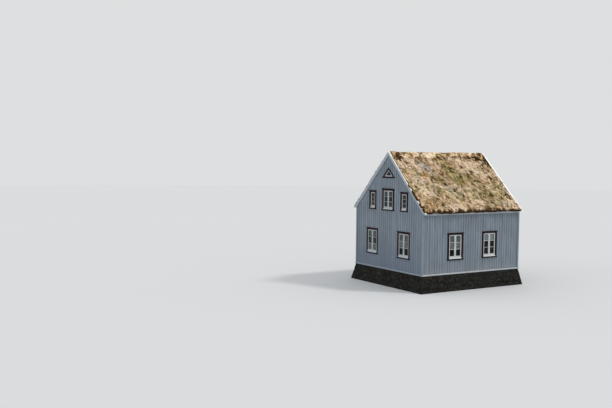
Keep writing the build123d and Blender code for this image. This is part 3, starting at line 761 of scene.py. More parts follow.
def make_battens(word, top, windows, gable):
    axis = WALLS[word][2]
    pitch, count = BATTEN_PITCH[axis], BATTENS_A_WALL[axis]
    first = -(count - 1) / 2 * pitch
    batten = block(
        word + "_battens",
        (first - BATTEN_WIDTH / 2, -BATTEN_THICKNESS, BATTEN_FOOT),
        (first + BATTEN_WIDTH / 2, 0.0, top),
    )

    def long_front_edge(edge):
        a, b = (v.co for v in edge.verts)
        return a.x == b.x and max(a.y, b.y) < -BATTEN_THICKNESS / 2

    work_on(batten, "EDGE")
    pick(batten, long_front_edge, "edges")
    bpy.ops.mesh.bevel(offset=0.004, segments=1)
    leave()
    finish_with(
        batten,
        "ARRAY",
        count=count,
        use_relative_offset=False,
        use_constant_offset=True,
        constant_offset_displace=(pitch, 0, 0),
    )
    solids = window_cutters(windows)
    if word == "back":
        solids.append(cutter(-DOOR_REACH, DOOR_REACH, 0, DOOR_HEAD))
    if gable:
        solids.append(triangle_cutter())
        for side in (-1, 1):
            work_on(batten, everything=True)
            bpy.ops.mesh.bisect(
                plane_co=(0, 0, RIDGE - WALL_FOOT), plane_no=(side, 0, 1), use_fill=True, clear_outer=True
            )
            leave()
    cut_away(batten, solids)
    # No two battens lie quite alike
    points = points_of(batten)
    number = np.round((points[:, 0] - first) / pitch).astype(int)
    wander = np.array([random.uniform(-BATTEN_WANDER, BATTEN_WANDER) for _ in range(count)])
    points[:, 0] += wander[number]
    place_points(batten, points)
    batten.data.transform(wall_place(word))
    fit_out(batten, batten_paint[axis], "wall_paint")


# Windows: glazing bars, casement frames and panes
def lights_of(window):
    """The glazed areas of a window: middle, foot, width and height of each."""
    inner = window.width - 2 * HOLE_INSET - 2 * STILE
    low = window.foot + HOLE_INSET + BOTTOM_RAIL
    tall = window.foot + window.height - HOLE_INSET - STILE - low
    if not window.paired:
        return [(window.middle, low, inner, tall)]
    wide = (inner - MULLION) / 2
    offset = (wide + MULLION) / 2
    return [(window.middle + side * offset, low, wide, tall) for side in (-1, 1)]


def glazing_bar(middle, level, wide):
    """A bar with a moulded front."""
    left, right = middle - wide / 2, middle + wide / 2
    bar = block("bar", (left, 0.0, level - BAR / 2), (right, BAR_DEPTH, level + BAR / 2))
    work_on(bar, "FACE")
    pick(bar, lambda f: f.normal.y < -0.9, "faces")
    bpy.ops.transform.resize(value=(1, 1, 0.45))
    leave()
    return bar


def casement(middle, low, wide, tall):
    """The moving frame round a light, standing a little proud of the fixed one."""
    bpy.ops.object.select_all(action="DESELECT")
    bpy.ops.mesh.primitive_plane_add(size=1, location=(0, 0, 0))
    ring = bpy.context.object
    ring.scale = (wide + 2 * CASEMENT_EDGE, tall + 2 * CASEMENT_EDGE, 1)
    settle(ring, "casement")
    work_on(ring, "FACE", everything=True)
    bpy.ops.mesh.inset(thickness=CASEMENT_EDGE + 0.003)
    bpy.ops.mesh.delete(type="FACE")
    leave()
    finish_with(ring, "SOLIDIFY", thickness=CASEMENT_DEPTH, offset=0)
    ease_edges(ring, 0.003, 2)
    upright = Matrix.Translation((middle, 0.009, low + tall / 2)) @ Matrix.Rotation(math.radians(90), 4, "X")
    ring.data.transform(upright)
    return ring


def weather_board(window):
    """A sloped white board that sheds rain from the foot of the frame over the casing."""
    size = WEATHER_BOARD
    reach = window.width / 2 - HOLE_INSET - size["inset"]
    foot, head = window.foot + size["foot"], window.foot + size["head"]
    left, right = window.middle - reach, window.middle + reach
    board = block("weather_board", (left, -size["proud"], foot), (right, size["root"], head))
    work_on(board)
    pick(board, lambda v: v.co.y < 0 and v.co.z > head - 0.001)
    bpy.ops.transform.translate(value=(0, size["slope"], 0))
    pick(board, lambda v: v.co.y > 0 and v.co.z > head - 0.001)
    bpy.ops.transform.translate(value=(0, 0, size["fall"]))
    leave()
    return ease_edges(board, 0.003, 2)


def write_painted_reflection(pane, haze):
    layer = pane.data.attributes.new("haze", "FLOAT", "POINT")
    layer.data.foreach_set("value", [haze] * len(pane.data.vertices))


def pane(middle, low, wide, tall, haze):
    """A sheet of glass that is not quite true in its rebate."""
    half = PANE_THICKNESS / 2
    glass = block("pane", (-wide / 2, -half, -tall / 2), (wide / 2, half, tall / 2))
    write_painted_reflection(glass, haze)
    lean = Matrix.Rotation(math.radians(random.uniform(-PANE_LEAN, PANE_LEAN)), 4, "X")
    swing = Matrix.Rotation(math.radians(random.uniform(-PANE_LEAN, PANE_LEAN)), 4, "Z")
    glass.data.transform(Matrix.Translation((middle, PANE_SET_BACK, low + tall / 2)) @ lean @ swing)
    return glass


def triangle_pane():
    reach = TRIANGLE_WIDTH / 2 - (TRIANGLE_INSET + STILE) / math.tan(SLOPE / 2)
    base = TRIANGLE_FOOT + TRIANGLE_INSET + STILE
    front, back = PANE_SET_BACK - PANE_THICKNESS / 2, PANE_SET_BACK + PANE_THICKNESS / 2
    glass = block("pane", (-reach, front, base), (reach, back, base + reach))
    write_painted_reflection(glass, TRIANGLE_PAINTED_REFLECTION)
    return close_top(glass, base + 0.01)


def glaze(window):
    """A window's weather board, casements and glazing bars, and its panes."""
    bars, panes = [weather_board(window)], []
    for middle, low, wide, tall in lights_of(window):
        bars.append(casement(middle, low, wide, tall))
        step = tall / PANES_A_LIGHT
        for n in range(PANES_A_LIGHT):
            level = low + n * step
            if n:
                bars.append(glazing_bar(middle, level, wide))
            panes.append(pane(middle, level, wide, step, window.haze[n]))
    return bars, panes


def make_windows(prefix, words, windows, triangle, glass_node):
    bars, panes = [], []
    for word in words:
        fresh_bars, fresh_panes = [], []
        for window in windows:
            more_bars, more_panes = glaze(window)
            fresh_bars += more_bars
            fresh_panes += more_panes
        if triangle:
            fresh_panes.append(triangle_pane())
        for piece in fresh_bars + fresh_panes:
            piece.data.transform(wall_place(word))
        bars += fresh_bars
        panes += fresh_panes
    fit_out(join(prefix + "_glazing_bars", bars), sash_paint[WALLS[words[0]][2]], "sash_paint")
    fit_out(join(prefix + "_panes", panes), glass_finish, "window_glass", glass_node)


# Rubble
def plinth_reach(height):
    """How far the battered face stands out, at a height from the wall's foot."""
    return PLINTH_BATTER * -height / WALL_FOOT


def rubble_seeds(half, chosen):
    """The stones' middles on one face of the plinth, in rough rows that run on past its corners."""
    seeds = []
    for height in RUBBLE_ROWS:
        at = -half - PLINTH_BATTER - chosen.uniform(0.05, 0.35)
        while at < half + PLINTH_BATTER + 0.35:
            seeds.append(Vector((at, 0, height - WALL_FOOT + chosen.uniform(-0.045, 0.045))))
            at += chosen.uniform(*RUBBLE_STEP)
    return seeds


def draw_out(piece, depth, share):
    """Draws the chosen face towards -Y and shrinks it about its own middle."""
    bpy.ops.mesh.extrude_region_move(TRANSFORM_OT_translate={"value": (0, -depth, 0)})
    chosen = [v.co for v in bmesh.from_edit_mesh(piece.data).verts if v.select]
    middle = sum(chosen, Vector()) / len(chosen)
    bpy.ops.transform.resize(value=(share, 1, share), center_override=middle)


def rubble_stone(seed, cuts, chosen):
    """A flat slab trimmed against its neighbours, then roughened and crowned; none if little is left."""
    bpy.ops.object.select_all(action="DESELECT")
    middle = (seed.x, STONE_ROOT, seed.z)
    bpy.ops.mesh.primitive_plane_add(size=STONE_BLANK, location=middle, rotation=(math.pi / 2, 0, 0))
    stone = settle(bpy.context.object, "stone")
    work_on(stone, "FACE")
    for place, square in cuts:
        bpy.ops.mesh.select_all(action="SELECT")
        bpy.ops.mesh.bisect(plane_co=place, plane_no=square, clear_outer=True)
    if sum(face.calc_area() for face in bmesh.from_edit_mesh(stone.data).faces) < LEAST_STONE:
        leave()
        drop(stone)
        return None
    bpy.ops.mesh.select_all(action="SELECT")
    bpy.ops.mesh.subdivide(number_cuts=1)
    bpy.ops.mesh.select_all(action="SELECT")
    proud = chosen.uniform(*STONE_PROUD)
    draw_out(stone, STONE_ROOT, 1.0)
    draw_out(stone, 0.6 * proud, 0.86)
    draw_out(stone, 0.4 * proud, 0.70)
    bpy.ops.mesh.select_all(action="SELECT")
    bpy.ops.transform.vertex_random(offset=0.007, uniform=0.0, normal=0.0, seed=chosen.randrange(1000))
    bpy.ops.mesh.normals_make_consistent(inside=False)
    leave()
    return stone


def make_plinth_stones(word):
    half = WALLS["right" if word in ("front", "back") else "front"][1]
    chosen = random.Random(list(WALLS).index(word) + 3)
    seeds = rubble_seeds(half, chosen)
    corner = half + CORNER_LAP
    ends = [((side * corner, 0, 0), (side * WALL_FOOT, 0, PLINTH_BATTER)) for side in (-1, 1)]
    rims = ends + [((0, 0, -WALL_FOOT), (0, 0, -1)), ((0, 0, -0.004), (0, 0, 1))]
    stones = []
    for seed in seeds:
        if abs(seed.x) > corner + plinth_reach(seed.z) + 0.3:
            continue
        cuts = list(rims)
        for other in seeds:
            apart = other - seed
            if 0 < apart.length < 0.9:
                square = Vector((RUBBLE_FLATNESS**2 * apart.x, 0, apart.z)).normalized()
                cuts.append(((seed + other) / 2 - square * RUBBLE_JOINT / 2, square))
        stones.append(rubble_stone(seed, cuts, chosen))
    rubble = join("plinth_stones_" + word, [stone for stone in stones if stone])
    points = points_of(rubble)
    points[:, 1] += PLINTH_BATTER * points[:, 2] / WALL_FOOT
    points[:, 2] = np.clip(points[:, 2], -WALL_FOOT, -0.002)
    place_points(rubble, points)
    rubble.data.transform(wall_place(word))
    smooth(rubble, 50)
    fit_out(rubble, plinth_rock, "plinth_stone")


def make_steps():
    """The flight to the door, of dressed blocks with worn noses."""
    foot_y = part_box("door_steps")[1].y
    blocks = []
    chosen = random.Random(5)
    for row, stones in enumerate(STEP_COURSES):
        front = foot_y - row * STEP_TREAD
        # At half its height a block's back reaches a little into the battered face
        back = BACK_FACE + 0.02 + PLINTH_BATTER * (1 - (row + 0.5) * STEP_RISE / WALL_FOOT) - 0.03
        at = -STEPS_REACH
        for n in range(stones):
            if n < stones - 1:
                width = 2 * STEPS_REACH / stones + STEP_WANDER * chosen.uniform(-1, 1)
            else:
                width = STEPS_REACH - at
            left, right = at + STEP_JOINT, at + width - STEP_JOINT
            stone = block("step", (left, back, row * STEP_RISE), (right, front, (row + 1) * STEP_RISE))
            ease_edges(stone, STEP_NOSE, 2)
            work_on(stone, everything=True)
            bpy.ops.mesh.subdivide(number_cuts=3)
            leave()
            points = points_of(stone)
            for p in points:
                shift = STEP_WEAR * noise.noise_vector(Vector(p) * 5.0)
                p += (shift.x, shift.y, min(0.0, shift.z))
            points[:, 2] = np.maximum(points[:, 2], 0.0)
            place_points(stone, points)
            blocks.append(stone)
            at += width
    steps = join("step_blocks", blocks)
    smooth(steps, 50)
    fit_out(steps, step_rock, "step_stone", "door_steps")


# Door: a panelled leaf with its furniture
def rod(name, sides, radius, length, place, turn=(0, 0, 0)):
    bpy.ops.mesh.primitive_cylinder_add(
        vertices=sides, radius=radius, depth=length, location=place, rotation=turn
    )
    return settle(bpy.context.object, name)


def make_door():
    low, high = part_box("door_leaf")
    half = (high.x - low.x) / 2
    tall = high.z - low.z
    leaf = block("panelled_door", (-half, 0.0, 0.0), (half, 0.050, tall))
    stile, lock_rail, rail = 0.105, 0.80, 0.115
    cuts_x = [-half + stile, -0.05, 0.05, half - stile]
    cuts_z = [0.19, lock_rail - rail / 2, lock_rail + rail / 2, tall - 0.50, tall - 0.40, tall - 0.11]
    work_on(leaf, "FACE")
    for x in cuts_x:
        bpy.ops.mesh.select_all(action="SELECT")
        bpy.ops.mesh.bisect(plane_co=(x, 0, 0), plane_no=(1, 0, 0))
    for z in cuts_z:
        bpy.ops.mesh.select_all(action="SELECT")
        bpy.ops.mesh.bisect(plane_co=(0, 0, z), plane_no=(0, 0, 1))
    wide = [(cuts_x[0], cuts_x[1]), (cuts_x[2], cuts_x[3])]
    high_cells = [(cuts_z[0], cuts_z[1]), (cuts_z[2], cuts_z[3]), (cuts_z[4], cuts_z[5])]

    def in_panel(face):
        middle = face.calc_center_median()
        return (
            abs(face.normal.y) > 0.9
            and any(a < middle.x < b for a, b in wide)
            and any(a < middle.z < b for a, b in high_cells)
        )

    pick(leaf, in_panel, "faces")
    bpy.ops.mesh.inset(thickness=0.008, depth=-0.012, use_individual=True)
    bpy.ops.mesh.inset(thickness=0.030, use_individual=True)
    bpy.ops.mesh.inset(thickness=0.010, depth=0.007, use_individual=True)
    leave()
    ease_edges(leaf, 0.0015)
    place = wall_place("back") @ Matrix.Translation((0, 0.020, low.z - WALL_FOOT))
    leaf.data.transform(place)
    fit_out(leaf, door_paint, "door_paint", "door_leaf")

    # Lever handle on a plate, and the knuckles of the hinges
    x = half - 0.052
    plate = block("plate", (x - 0.02, -0.004, 0.90), (x + 0.02, 0.0005, 1.10))
    ease_edges(plate, 0.002, 2)
    parts = [plate]
    handle = 1.03
    spindle = rod("spindle", 20, 0.009, 0.045, (x, -0.024, handle), (math.pi / 2, 0, 0))
    parts.append(ease_edges(spindle, 0.002, 2))
    lever = rod("lever", 20, 0.008, 0.11, (x - 0.045, -0.045, handle), (0, math.pi / 2, 0))
    work_on(lever)
    pick(lever, lambda v: v.co.x < x - 0.08)
    bpy.ops.transform.resize(value=(1, 0.7, 0.7), center_override=(x - 0.1, -0.045, handle))
    leave()
    parts.append(ease_edges(lever, 0.003, 3))
    for height in (0.25, tall - 0.25):
        parts.append(ease_edges(rod("knuckle", 16, 0.008, 0.10, (-half + 0.004, -0.004, height)), 0.002, 2))
    furniture = join("door_furniture", parts)
    furniture.data.transform(place)
    smooth(furniture)
    fit_out(furniture, iron_finish, "door_paint")


# Turf
# What marks the sunny slope: metres down it, place along the house, radius and strength
MOSS_PATCHES = [
    (0.50, -0.34, 0.30, 0.6), (0.94, -0.06, 0.40, 0.7), (1.53, 0.07, 0.50, 0.9), (1.96, 0.22, 0.50, 0.9),
    (1.81, 0.86, 0.40, 0.6), (1.81, -1.31, 0.26, 0.9), (2.16, -1.06, 0.26, 0.9), (1.50, -2.40, 0.32, 0.7),
    (2.37, -1.90, 0.24, 0.7), (2.78, -1.49, 0.26, 0.7), (3.20, -1.21, 0.26, 0.8), (3.06, 0.60, 0.45, 0.6),
    (3.04, 1.60, 0.50, 0.7), (3.10, 2.60, 0.35, 0.6), (2.55, 2.50, 0.40, 0.6),
]
OCHRE_PATCHES = [
    (1.74, -1.93, 0.26, 0.9), (1.95, -1.20, 0.20, 0.5), (3.63, -2.70, 0.38, 0.8), (3.50, 0.07, 0.26, 0.6),
    (2.30, 0.35, 0.22, 0.4),
]
GREY_PATCHES = [
    (0.89, -1.70, 0.26, 0.8), (1.12, -1.50, 0.28, 1.0), (1.40, -1.42, 0.24, 0.9), (2.57, -1.76, 0.28, 0.5),
    (2.84, 2.90, 0.20, 0.8),
]
# Dark clumps, and painted shade under the ridge sods' lower edges, in the gaps between them and beside the
# back cap
DARK_AND_SHADED_PATCHES = [
    (0.34, -2.94, 0.28, 1.0), (0.56, -2.70, 0.24, 0.9), (0.00, -1.29, 0.13, 1.0), (0.00, 1.30, 0.13, 1.0),
    (0.50, 0.00, 0.22, 1.0), (0.46, 1.45, 0.17, 0.7), (0.48, 1.95, 0.18, 0.75), (0.52, 2.45, 0.20, 0.85),
    (0.30, 2.95, 0.40, 1.0), (0.70, 3.00, 0.42, 1.0), (2.04, 3.08, 0.18, 1.0),
    (3.13, 2.91, 0.24, 0.9), (1.88, -0.89, 0.14, 0.9), (2.31, -0.94, 0.14, 0.9), (3.28, -0.34, 0.18, 0.8),
    (2.80, -0.51, 0.13, 0.8), (1.30, -1.55, 0.14, 0.8), (0.62, -1.80, 0.16, 0.7),
]
PALE_PATCHES = [
    (2.36, -2.66, 0.36, 0.9), (2.77, -2.45, 0.36, 0.8), (2.60, -2.00, 0.36, 0.7), (3.06, -1.00, 0.32, 0.9),
    (3.67, -0.98, 0.30, 0.8), (3.63, 0.12, 0.30, 0.6), (1.00, 1.66, 0.60, 0.5), (1.52, 2.04, 0.50, 0.5),
    (0.54, -2.49, 0.30, 0.6), (0.89, -2.10, 0.40, 0.6),
]

# Sods over the ridge: start and end along the house, thickness, how far they reach down, paleness
RIDGE_SODS = [
    (-3.15, -2.60, 0.060, 0.42, -0.06),
    (-2.66, -1.95, 0.042, 0.33, 0.06),
    (-1.98, -1.36, 0.050, 0.30, 0.08),
    (-1.22, -0.45, 0.044, 0.34, 0.08),
    (-0.48, 0.62, 0.046, 0.30, 0.04),
    (0.60, 1.24, 0.060, 0.31, 0.02),
    (1.37, 2.45, 0.064, 0.33, -0.04),
    (2.40, 3.14, 0.065, 0.42, -0.10),
]

# Turf on the caps, by side and end of the house: places down the slope, how far it creeps over the cap
# at each (past 1 it hangs over the edge), how thick it lies there, and how much paler it is than the rest
Verge = namedtuple("Verge", "places creeps depths paler")
VERGES = {
    (1, -1): Verge(
        (0.30, 2.30, 2.38, 2.50, 2.58, 2.72, 2.80, 3.36, 3.42, 3.55, 3.62, 3.84, 3.90, 3.97, 4.20),
        (0.48, 0.54, 1.15, 1.15, 0.50, 0.50, 1.30, 1.30, 0.45, 0.45, 1.30, 1.30, 0.60, 1.20, 1.20),
        (0.012, 0.020, 0.06, 0.07, 0.02, 0.03, 0.11, 0.12, 0.03, 0.03, 0.12, 0.12, 0.05, 0.11, 0.11),
        0.0,
    ),
    # The left front verge is darker than the rest: painted shade on the slope that faces away from the sun
    (-1, -1): Verge(
        (0.30, 1.00, 2.00, 3.00, 4.20),
        (0.80, 0.90, 0.96, 0.92, 1.02),
        (0.034, 0.048, 0.058, 0.054, 0.064),
        -0.34,
    ),
    (-1, 1): Verge((0.80, 2.40, 3.20, 4.20), (0.10, 0.50, 1.10, 0.60), (0.006, 0.025, 0.06, 0.04), 0.0),
    (1, 1): Verge((0.30, 3.20, 3.70, 4.20), (0.03, 0.05, 0.35, 0.45), (0.003, 0.004, 0.020, 0.030), 0.0),
}

SLOPE_ROWS = 130
NOSE_ROWS = 14
NOSE_HANG = 0.045
BED_COLUMNS = 208
SOIL = (0, 0, 0, 0.05)


def patch(patches, down, along):
    """How strongly the marked patches show at a place, 0 to 1."""
    found = 0.0
    for at_down, at_along, radius, strength in patches:
        distance = math.hypot(down - at_down, along - at_along) / radius
        found = max(found, strength * (1 - ease(distance, 0.35, 1.45)))
    return found


def turf_at(side, down, along):
    """The turf at a place on a slope: how far it stands up, then moss, ochre, grey and paleness."""
    spot = Vector((0.72 * down, along, 9.7 * side))
    spot += 0.10 * noise.noise_vector(2.6 * spot)
    swell = noise.noise(1.3 * spot + Vector((4, 4, 4)))
    hump = noise.noise(3.3 * spot + Vector((1, 3, 2)))
    knob = noise.noise(8.0 * spot + Vector((6, 2, 5)))
    crumb = noise.noise(17 * spot)
    lift = 0.034 * swell + 0.036 * hump + 0.026 * knob + 0.012 * crumb

    strayed = Vector((down, along, 0)) + 0.26 * noise.noise_vector(2.2 * spot)
    strayed += 0.20 * noise.noise_vector(7 * spot)
    speck = noise.noise(9 * spot + Vector((2, 5, 1)))
    moss = 0.7 * ease(noise.noise(0.9 * spot + Vector((3, 8, 1))) + 0.3 * speck, 0.05, 0.40)
    ochre = 0.5 * ease(noise.noise(1.7 * spot + Vector((7, 1, 6))) + 0.3 * speck, 0.22, 0.50)
    grey = 0.6 * ease(noise.noise(1.6 * spot + Vector((9, 2, 5))) + 0.4 * speck, 0.22, 0.50)
    dark = 0.8 * ease(noise.noise(2.2 * spot + Vector((1, 7, 9))), 0.28, 0.50)
    bright = 0.6 * ease(noise.noise(1.5 * spot + Vector((6, 6, 2))), 0.10, 0.45)
    if side > 0:
        moss = max(0.6 * moss, patch(MOSS_PATCHES, *strayed.xy) * (0.70 + 0.30 * ease(speck, -0.25, 0.20)))
        ochre = max(0.7 * ochre, patch(OCHRE_PATCHES, *strayed.xy))
        grey = max(0.6 * grey, patch(GREY_PATCHES, *strayed.xy))
        dark = max(0.5 * dark, patch(DARK_AND_SHADED_PATCHES, *strayed.xy))
        bright = max(0.5 * bright, patch(PALE_PATCHES, *strayed.xy))
    # Paleness rises with the lumps and falls in the hollows: painted highlight on their tops and painted
    # shade below, darkest in the gaps, where bare soil shows too; the dark patches sink into the hollows
    bare = dark * (1 - ease(knob + 0.6 * crumb + 0.3 * speck, -0.10, 0.30))
    gap = ease(-knob - 0.8 * crumb, 0.24, 0.60) * ease(down, 0.3, 3.6)
    pale = 0.58 + 0.18 * swell + 0.20 * hump + 0.46 * knob + 0.30 * crumb
    pale += 0.27 * bright - 0.10 * moss - 0.12 * dark - 0.62 * bare - 0.40 * gap
    pale += 0.10 * ease(knob, 0.15, 0.45)
    return lift - 0.02 * bare, moss, ochre, grey, min(1.0, max(0.05, pale))


def verge_at(side, end, down):
    """How far turf creeps over a cap at a place down the slope, and how thick it lies there."""
    verge = VERGES[side, end]
    inside = ease(down, verge.places[0] - 0.1, verge.places[0] + 0.1)
    creep, depth = (float(np.interp(down, verge.places, values)) for values in (verge.creeps, verge.depths))
    return creep * inside, depth * inside


def board_top(distance):
    """Height of the roof boards' upper face."""
    return RIDGE - distance + ROOF_BOARD * math.sqrt(2)


def cap_top(distance):
    return RIDGE - distance + CAP_TOP * math.sqrt(2)


def base_rise(distance):
    """The turf's thickness, square to the slope from the roof's underside."""
    return 0.090 + 0.095 * ease(distance, 0.4, 3.3)


def turf_profile():
    """Points over the turf from the ridge, round the nose and back to the ends of the roof boards."""
    points = []
    for n in range(SLOPE_ROWS + 1):
        distance = TURF_CREST * n / SLOPE_ROWS
        points.append((distance, RIDGE - distance + base_rise(distance) * math.sqrt(2)))
    crest, top = points[-1]
    belly = (top + NOSE_FOOT) / 2
    for n in range(1, NOSE_ROWS):
        angle = math.radians(90 - 180 * n / NOSE_ROWS)
        hang = NOSE_HANG * max(0.0, -math.sin(angle)) ** 2
        out = crest + (TURF_NOSE - crest) * math.cos(angle)
        points.append((out, belly + (top - belly) * math.sin(angle) - hang))
    points.append((BOARD_END + 0.012, NOSE_FOOT + 0.004))
    points.append((BOARD_END, board_top(BOARD_END)))
    return points


def outward(profile, row):
    """The direction square to the profile at one of its points."""
    a, b = profile[max(0, row - 1)], profile[min(len(profile) - 1, row + 1)]
    run = Vector((b[0] - a[0], b[1] - a[1])).normalized()
    return -run.y, run.x


def sheet(name, columns, rows):
    """A flat sheet to be shaped, with the column and the row of each of its points."""
    bpy.ops.object.select_all(action="DESELECT")
    bpy.ops.mesh.primitive_grid_add(x_subdivisions=columns - 1, y_subdivisions=rows - 1, size=1)
    piece = bpy.context.object
    piece.name = name
    flat = points_of(piece) + 0.5
    column, row = (np.rint(flat[:, n] * (count - 1)).astype(int) for n, count in enumerate((columns, rows)))
    return piece, column, row


def close_below(piece, seat):
    """Brings a sheet's rim down to what it lies on, and fills in the underside."""
    work_on(piece, "EDGE")
    bpy.ops.mesh.select_non_manifold()
    bpy.ops.mesh.extrude_region_move()
    mesh = bmesh.from_edit_mesh(piece.data)
    for point in mesh.verts:
        if point.select:
            point.co = seat(point.co)
    bmesh.update_edit_mesh(piece.data)
    bpy.ops.mesh.edge_face_add()
    bpy.ops.mesh.select_all(action="SELECT")
    bpy.ops.mesh.normals_make_consistent(inside=False)
    leave()


def write_growth(piece, values):
    """Keeps moss, ochre, grey and paleness on the mesh; points past the list are bare soil."""
    missing = len(piece.data.vertices) - len(values)
    values = np.vstack([values, np.tile(SOIL, (missing, 1))])
    layer = piece.data.attributes.new("growth", "FLOAT_COLOR", "POINT")
    layer.data.foreach_set("color", values.astype(np.float32).ravel())


def make_bed(side, name, node):
    """One slope of turf: a lumpy sheet that thickens down the slope and rolls over the eaves."""
    profile = turf_profile()
    down = [0.0]
    for a, b in zip(profile, profile[1:]):
        down.append(down[-1] + math.dist(a, b))
    bed, columns, rows = sheet(name, BED_COLUMNS, len(profile))
    points, growth = points_of(bed), []
    top = profile[SLOPE_ROWS][1]
    for index, (column, row) in enumerate(zip(columns, rows)):
        distance, height = profile[row]
        along = (2 * column / (BED_COLUMNS - 1) - 1) * CAP_INNER_END
        lift, moss, ochre, grey, pale = turf_at(side, down[row], along)
        share = 1.0
        if row > SLOPE_ROWS:
            # The nose: matted grass above, a ragged face of cut soil below, made darker still as painted
            # shade under the overhang
            share = max(0.0, (height - NOSE_FOOT) / (top - NOSE_FOOT))
            ragged = noise.noise(Vector((3.1 * along, side, 3)))
            ragged += 0.8 * noise.noise(Vector((9 * along, side, 5)))
            line = 0.60 - 0.04 * ease(along, 0.5, 2.5) + 0.62 * ragged
            soil = 1 - ease(share, line - 0.08, line + 0.06)
            pale += soil * (0.07 + 0.10 * noise.noise(Vector((14 * along, 11 * height, 1))) - pale)
            moss *= 1 - soil
            lift = 0.8 * lift + 0.012 + 0.05 * ragged * share * (1 - share) - 0.020 * soil
        # The turf dips to the caps, further off at the back
        _, depth = verge_at(side, 1 if along > 0 else -1, down[row])
        edge = ease(abs(along), CAP_INNER_END - (0.28 if along > 0 else 0.14), CAP_INNER_END - 0.02)
        lift *= 1 - 0.85 * edge
        drop = edge * share * (base_rise(distance) - CAP_TOP + 0.014 - 0.6 * depth) * math.sqrt(2)
        if row >= len(profile) - 2:
            lift, drop = 0.0, 0.0
        out_x, out_z = outward(profile, row)
        points[index] = (side * (distance + lift * out_x), MIDDLE_Y + along, height + lift * out_z - drop)
        # Darker right next to the caps: painted shade in the gap along them
        pale -= 0.40 * ease(abs(along), CAP_INNER_END - 0.08, CAP_INNER_END - 0.02)
        growth.append((moss, ochre, grey, max(0.05, pale)))
    place_points(bed, points)

    def seat(point):
        distance = abs(point.x)
        if distance < BOARD_END - 0.001:
            return Vector((point.x, point.y, board_top(distance)))
        if distance < BOARD_END + 0.001 and point.z > NOSE_FOOT + 0.01:
            return Vector((side * (BOARD_END - 0.03), point.y, board_top(BOARD_END - 0.03)))
        height = min(board_top(BOARD_END) - 0.001, max(NOSE_FOOT, point.z))
        return Vector((side * (BOARD_END - 0.005), point.y, height))

    close_below(bed, seat)
    write_growth(bed, growth)
    smooth(bed, 75)
    fit_out(bed, sod_finish, "turf", node)
    return bed


def make_verge(side, end):
    """Turf that creeps over a cap: thin at the top, thick and hanging over its edge further down."""
    across, rows_down = 11, 180
    start, *_, stop = VERGES[side, end].places
    verge, columns, rows = sheet("verge", across, rows_down)
    points, growth = points_of(verge), []
    inner = CAP_INNER_END - 0.10
    for index, (column, row) in enumerate(zip(columns, rows)):
        share = column / (across - 1)
        down = start + (stop - start) * row / (rows_down - 1)
        ragged = noise.noise(Vector((7 * down, 5 * side, 3 * end)))
        ragged += 0.6 * noise.noise(Vector((19 * down, side, end)))
        creep, depth = verge_at(side, end, down)
        creep = max(0.0, creep + 0.14 * ragged)
        tail = ease(row, 0, 4) * (1 - ease(row, rows_down - 5, rows_down - 1))
        depth = max(0.003, depth * (1 + 0.5 * ragged)) * tail
        along = inner + share * (CAP_INNER_END + creep * CAP_WIDTH - inner)
        # Past the edge it hangs down the cap's face
        over = max(0.0, along - CAP_OUTER_END)
        along = min(along, CAP_OUTER_END) + min(0.010, over)
        distance = down / math.sqrt(2)
        lift, moss, ochre, grey, pale = turf_at(side, down, end * along)
        crown = depth * (1 - share ** 10) * (0.5 + 0.5 * ease(share, 0.0, 0.4))
        rise = 0.002 + crown + 0.3 * max(0.0, lift) * (1 - share) - max(0.0, over - 0.006)
        out = rise / math.sqrt(2)
        points[index] = (side * (distance + out), MIDDLE_Y + end * along, cap_top(distance) + out)
        # Its outer rim is dark: cut soil, and painted shade where it hangs over the cap's edge
        soil = ease(share, 0.76, 0.88)
        pale = max(0.05, pale + VERGES[side, end].paler)
        pale += soil * (0.06 + 0.05 * ragged - pale)
        growth.append((moss * (1 - soil), ochre * (1 - soil), grey, pale))
    place_points(verge, points)

    def seat(point):
        # A point that hangs past the edge is closed off inside the cap
        past = abs(point.y - MIDDLE_Y) > CAP_OUTER_END
        y = MIDDLE_Y + end * (CAP_OUTER_END - 0.003) if past else point.y
        return Vector((point.x, y, cap_top(abs(point.x)) + 0.001))

    close_below(verge, seat)
    write_growth(verge, growth)
    smooth(verge, 75)
    return verge


def make_ridge_sod(start, end, thickness, reach, shade):
    """One sod bent over the ridge, with torn edges."""
    sod = block("sod", (-1, -1, 0), (1, 1, 1))
    work_on(sod, everything=True)
    bpy.ops.mesh.subdivide(number_cuts=15)
    leave()
    points, growth = points_of(sod), []
    for index, (across, length, level) in enumerate(points):
        side = -1 if across < 0 else 1
        along = (start + end) / 2 + length * (end - start) / 2
        torn = noise.noise(Vector((2.3 * along, 2 * side, 1.7)))
        torn += 0.6 * noise.noise(Vector((8 * along, side, 4)))
        along += 0.05 * noise.noise(Vector((6 * across, start, 2.2))) * abs(length) ** 4
        distance = abs(across) * (reach + 0.10 * torn)
        lift, moss, ochre, grey, pale = turf_at(side, distance * math.sqrt(2), along)
        rim = max(abs(across), abs(length)) ** 10
        rise = base_rise(distance) - 0.03 + level * (0.03 + thickness * (1 - 0.35 * rim)) + level * 0.8 * lift
        crown = 0.055 * math.exp(-((distance / 0.10) ** 2))
        points[index] = (side * distance, MIDDLE_Y + along, RIDGE - distance + rise * math.sqrt(2) - crown)
        # Thick sods are dark at their rims and undersides: torn soil, and painted shadow beneath them
        soil = max(ease(rim, 0.35, 0.75), 1 - level) * ease(thickness, 0.02, 0.09)
        growth.append((0.6 * moss, ochre, grey, max(0.05, pale + shade - 0.6 * soil)))
    place_points(sod, points)
    write_growth(sod, growth)
    return sod


def make_ridge():
    """The row of sods over the ridge, in one piece."""
    ridge = join("ridge_sods", [make_ridge_sod(*line) for line in RIDGE_SODS])
    smooth(ridge, 75)
    fit_out(ridge, sod_finish, "turf", "ridge_turf")
    return ridge


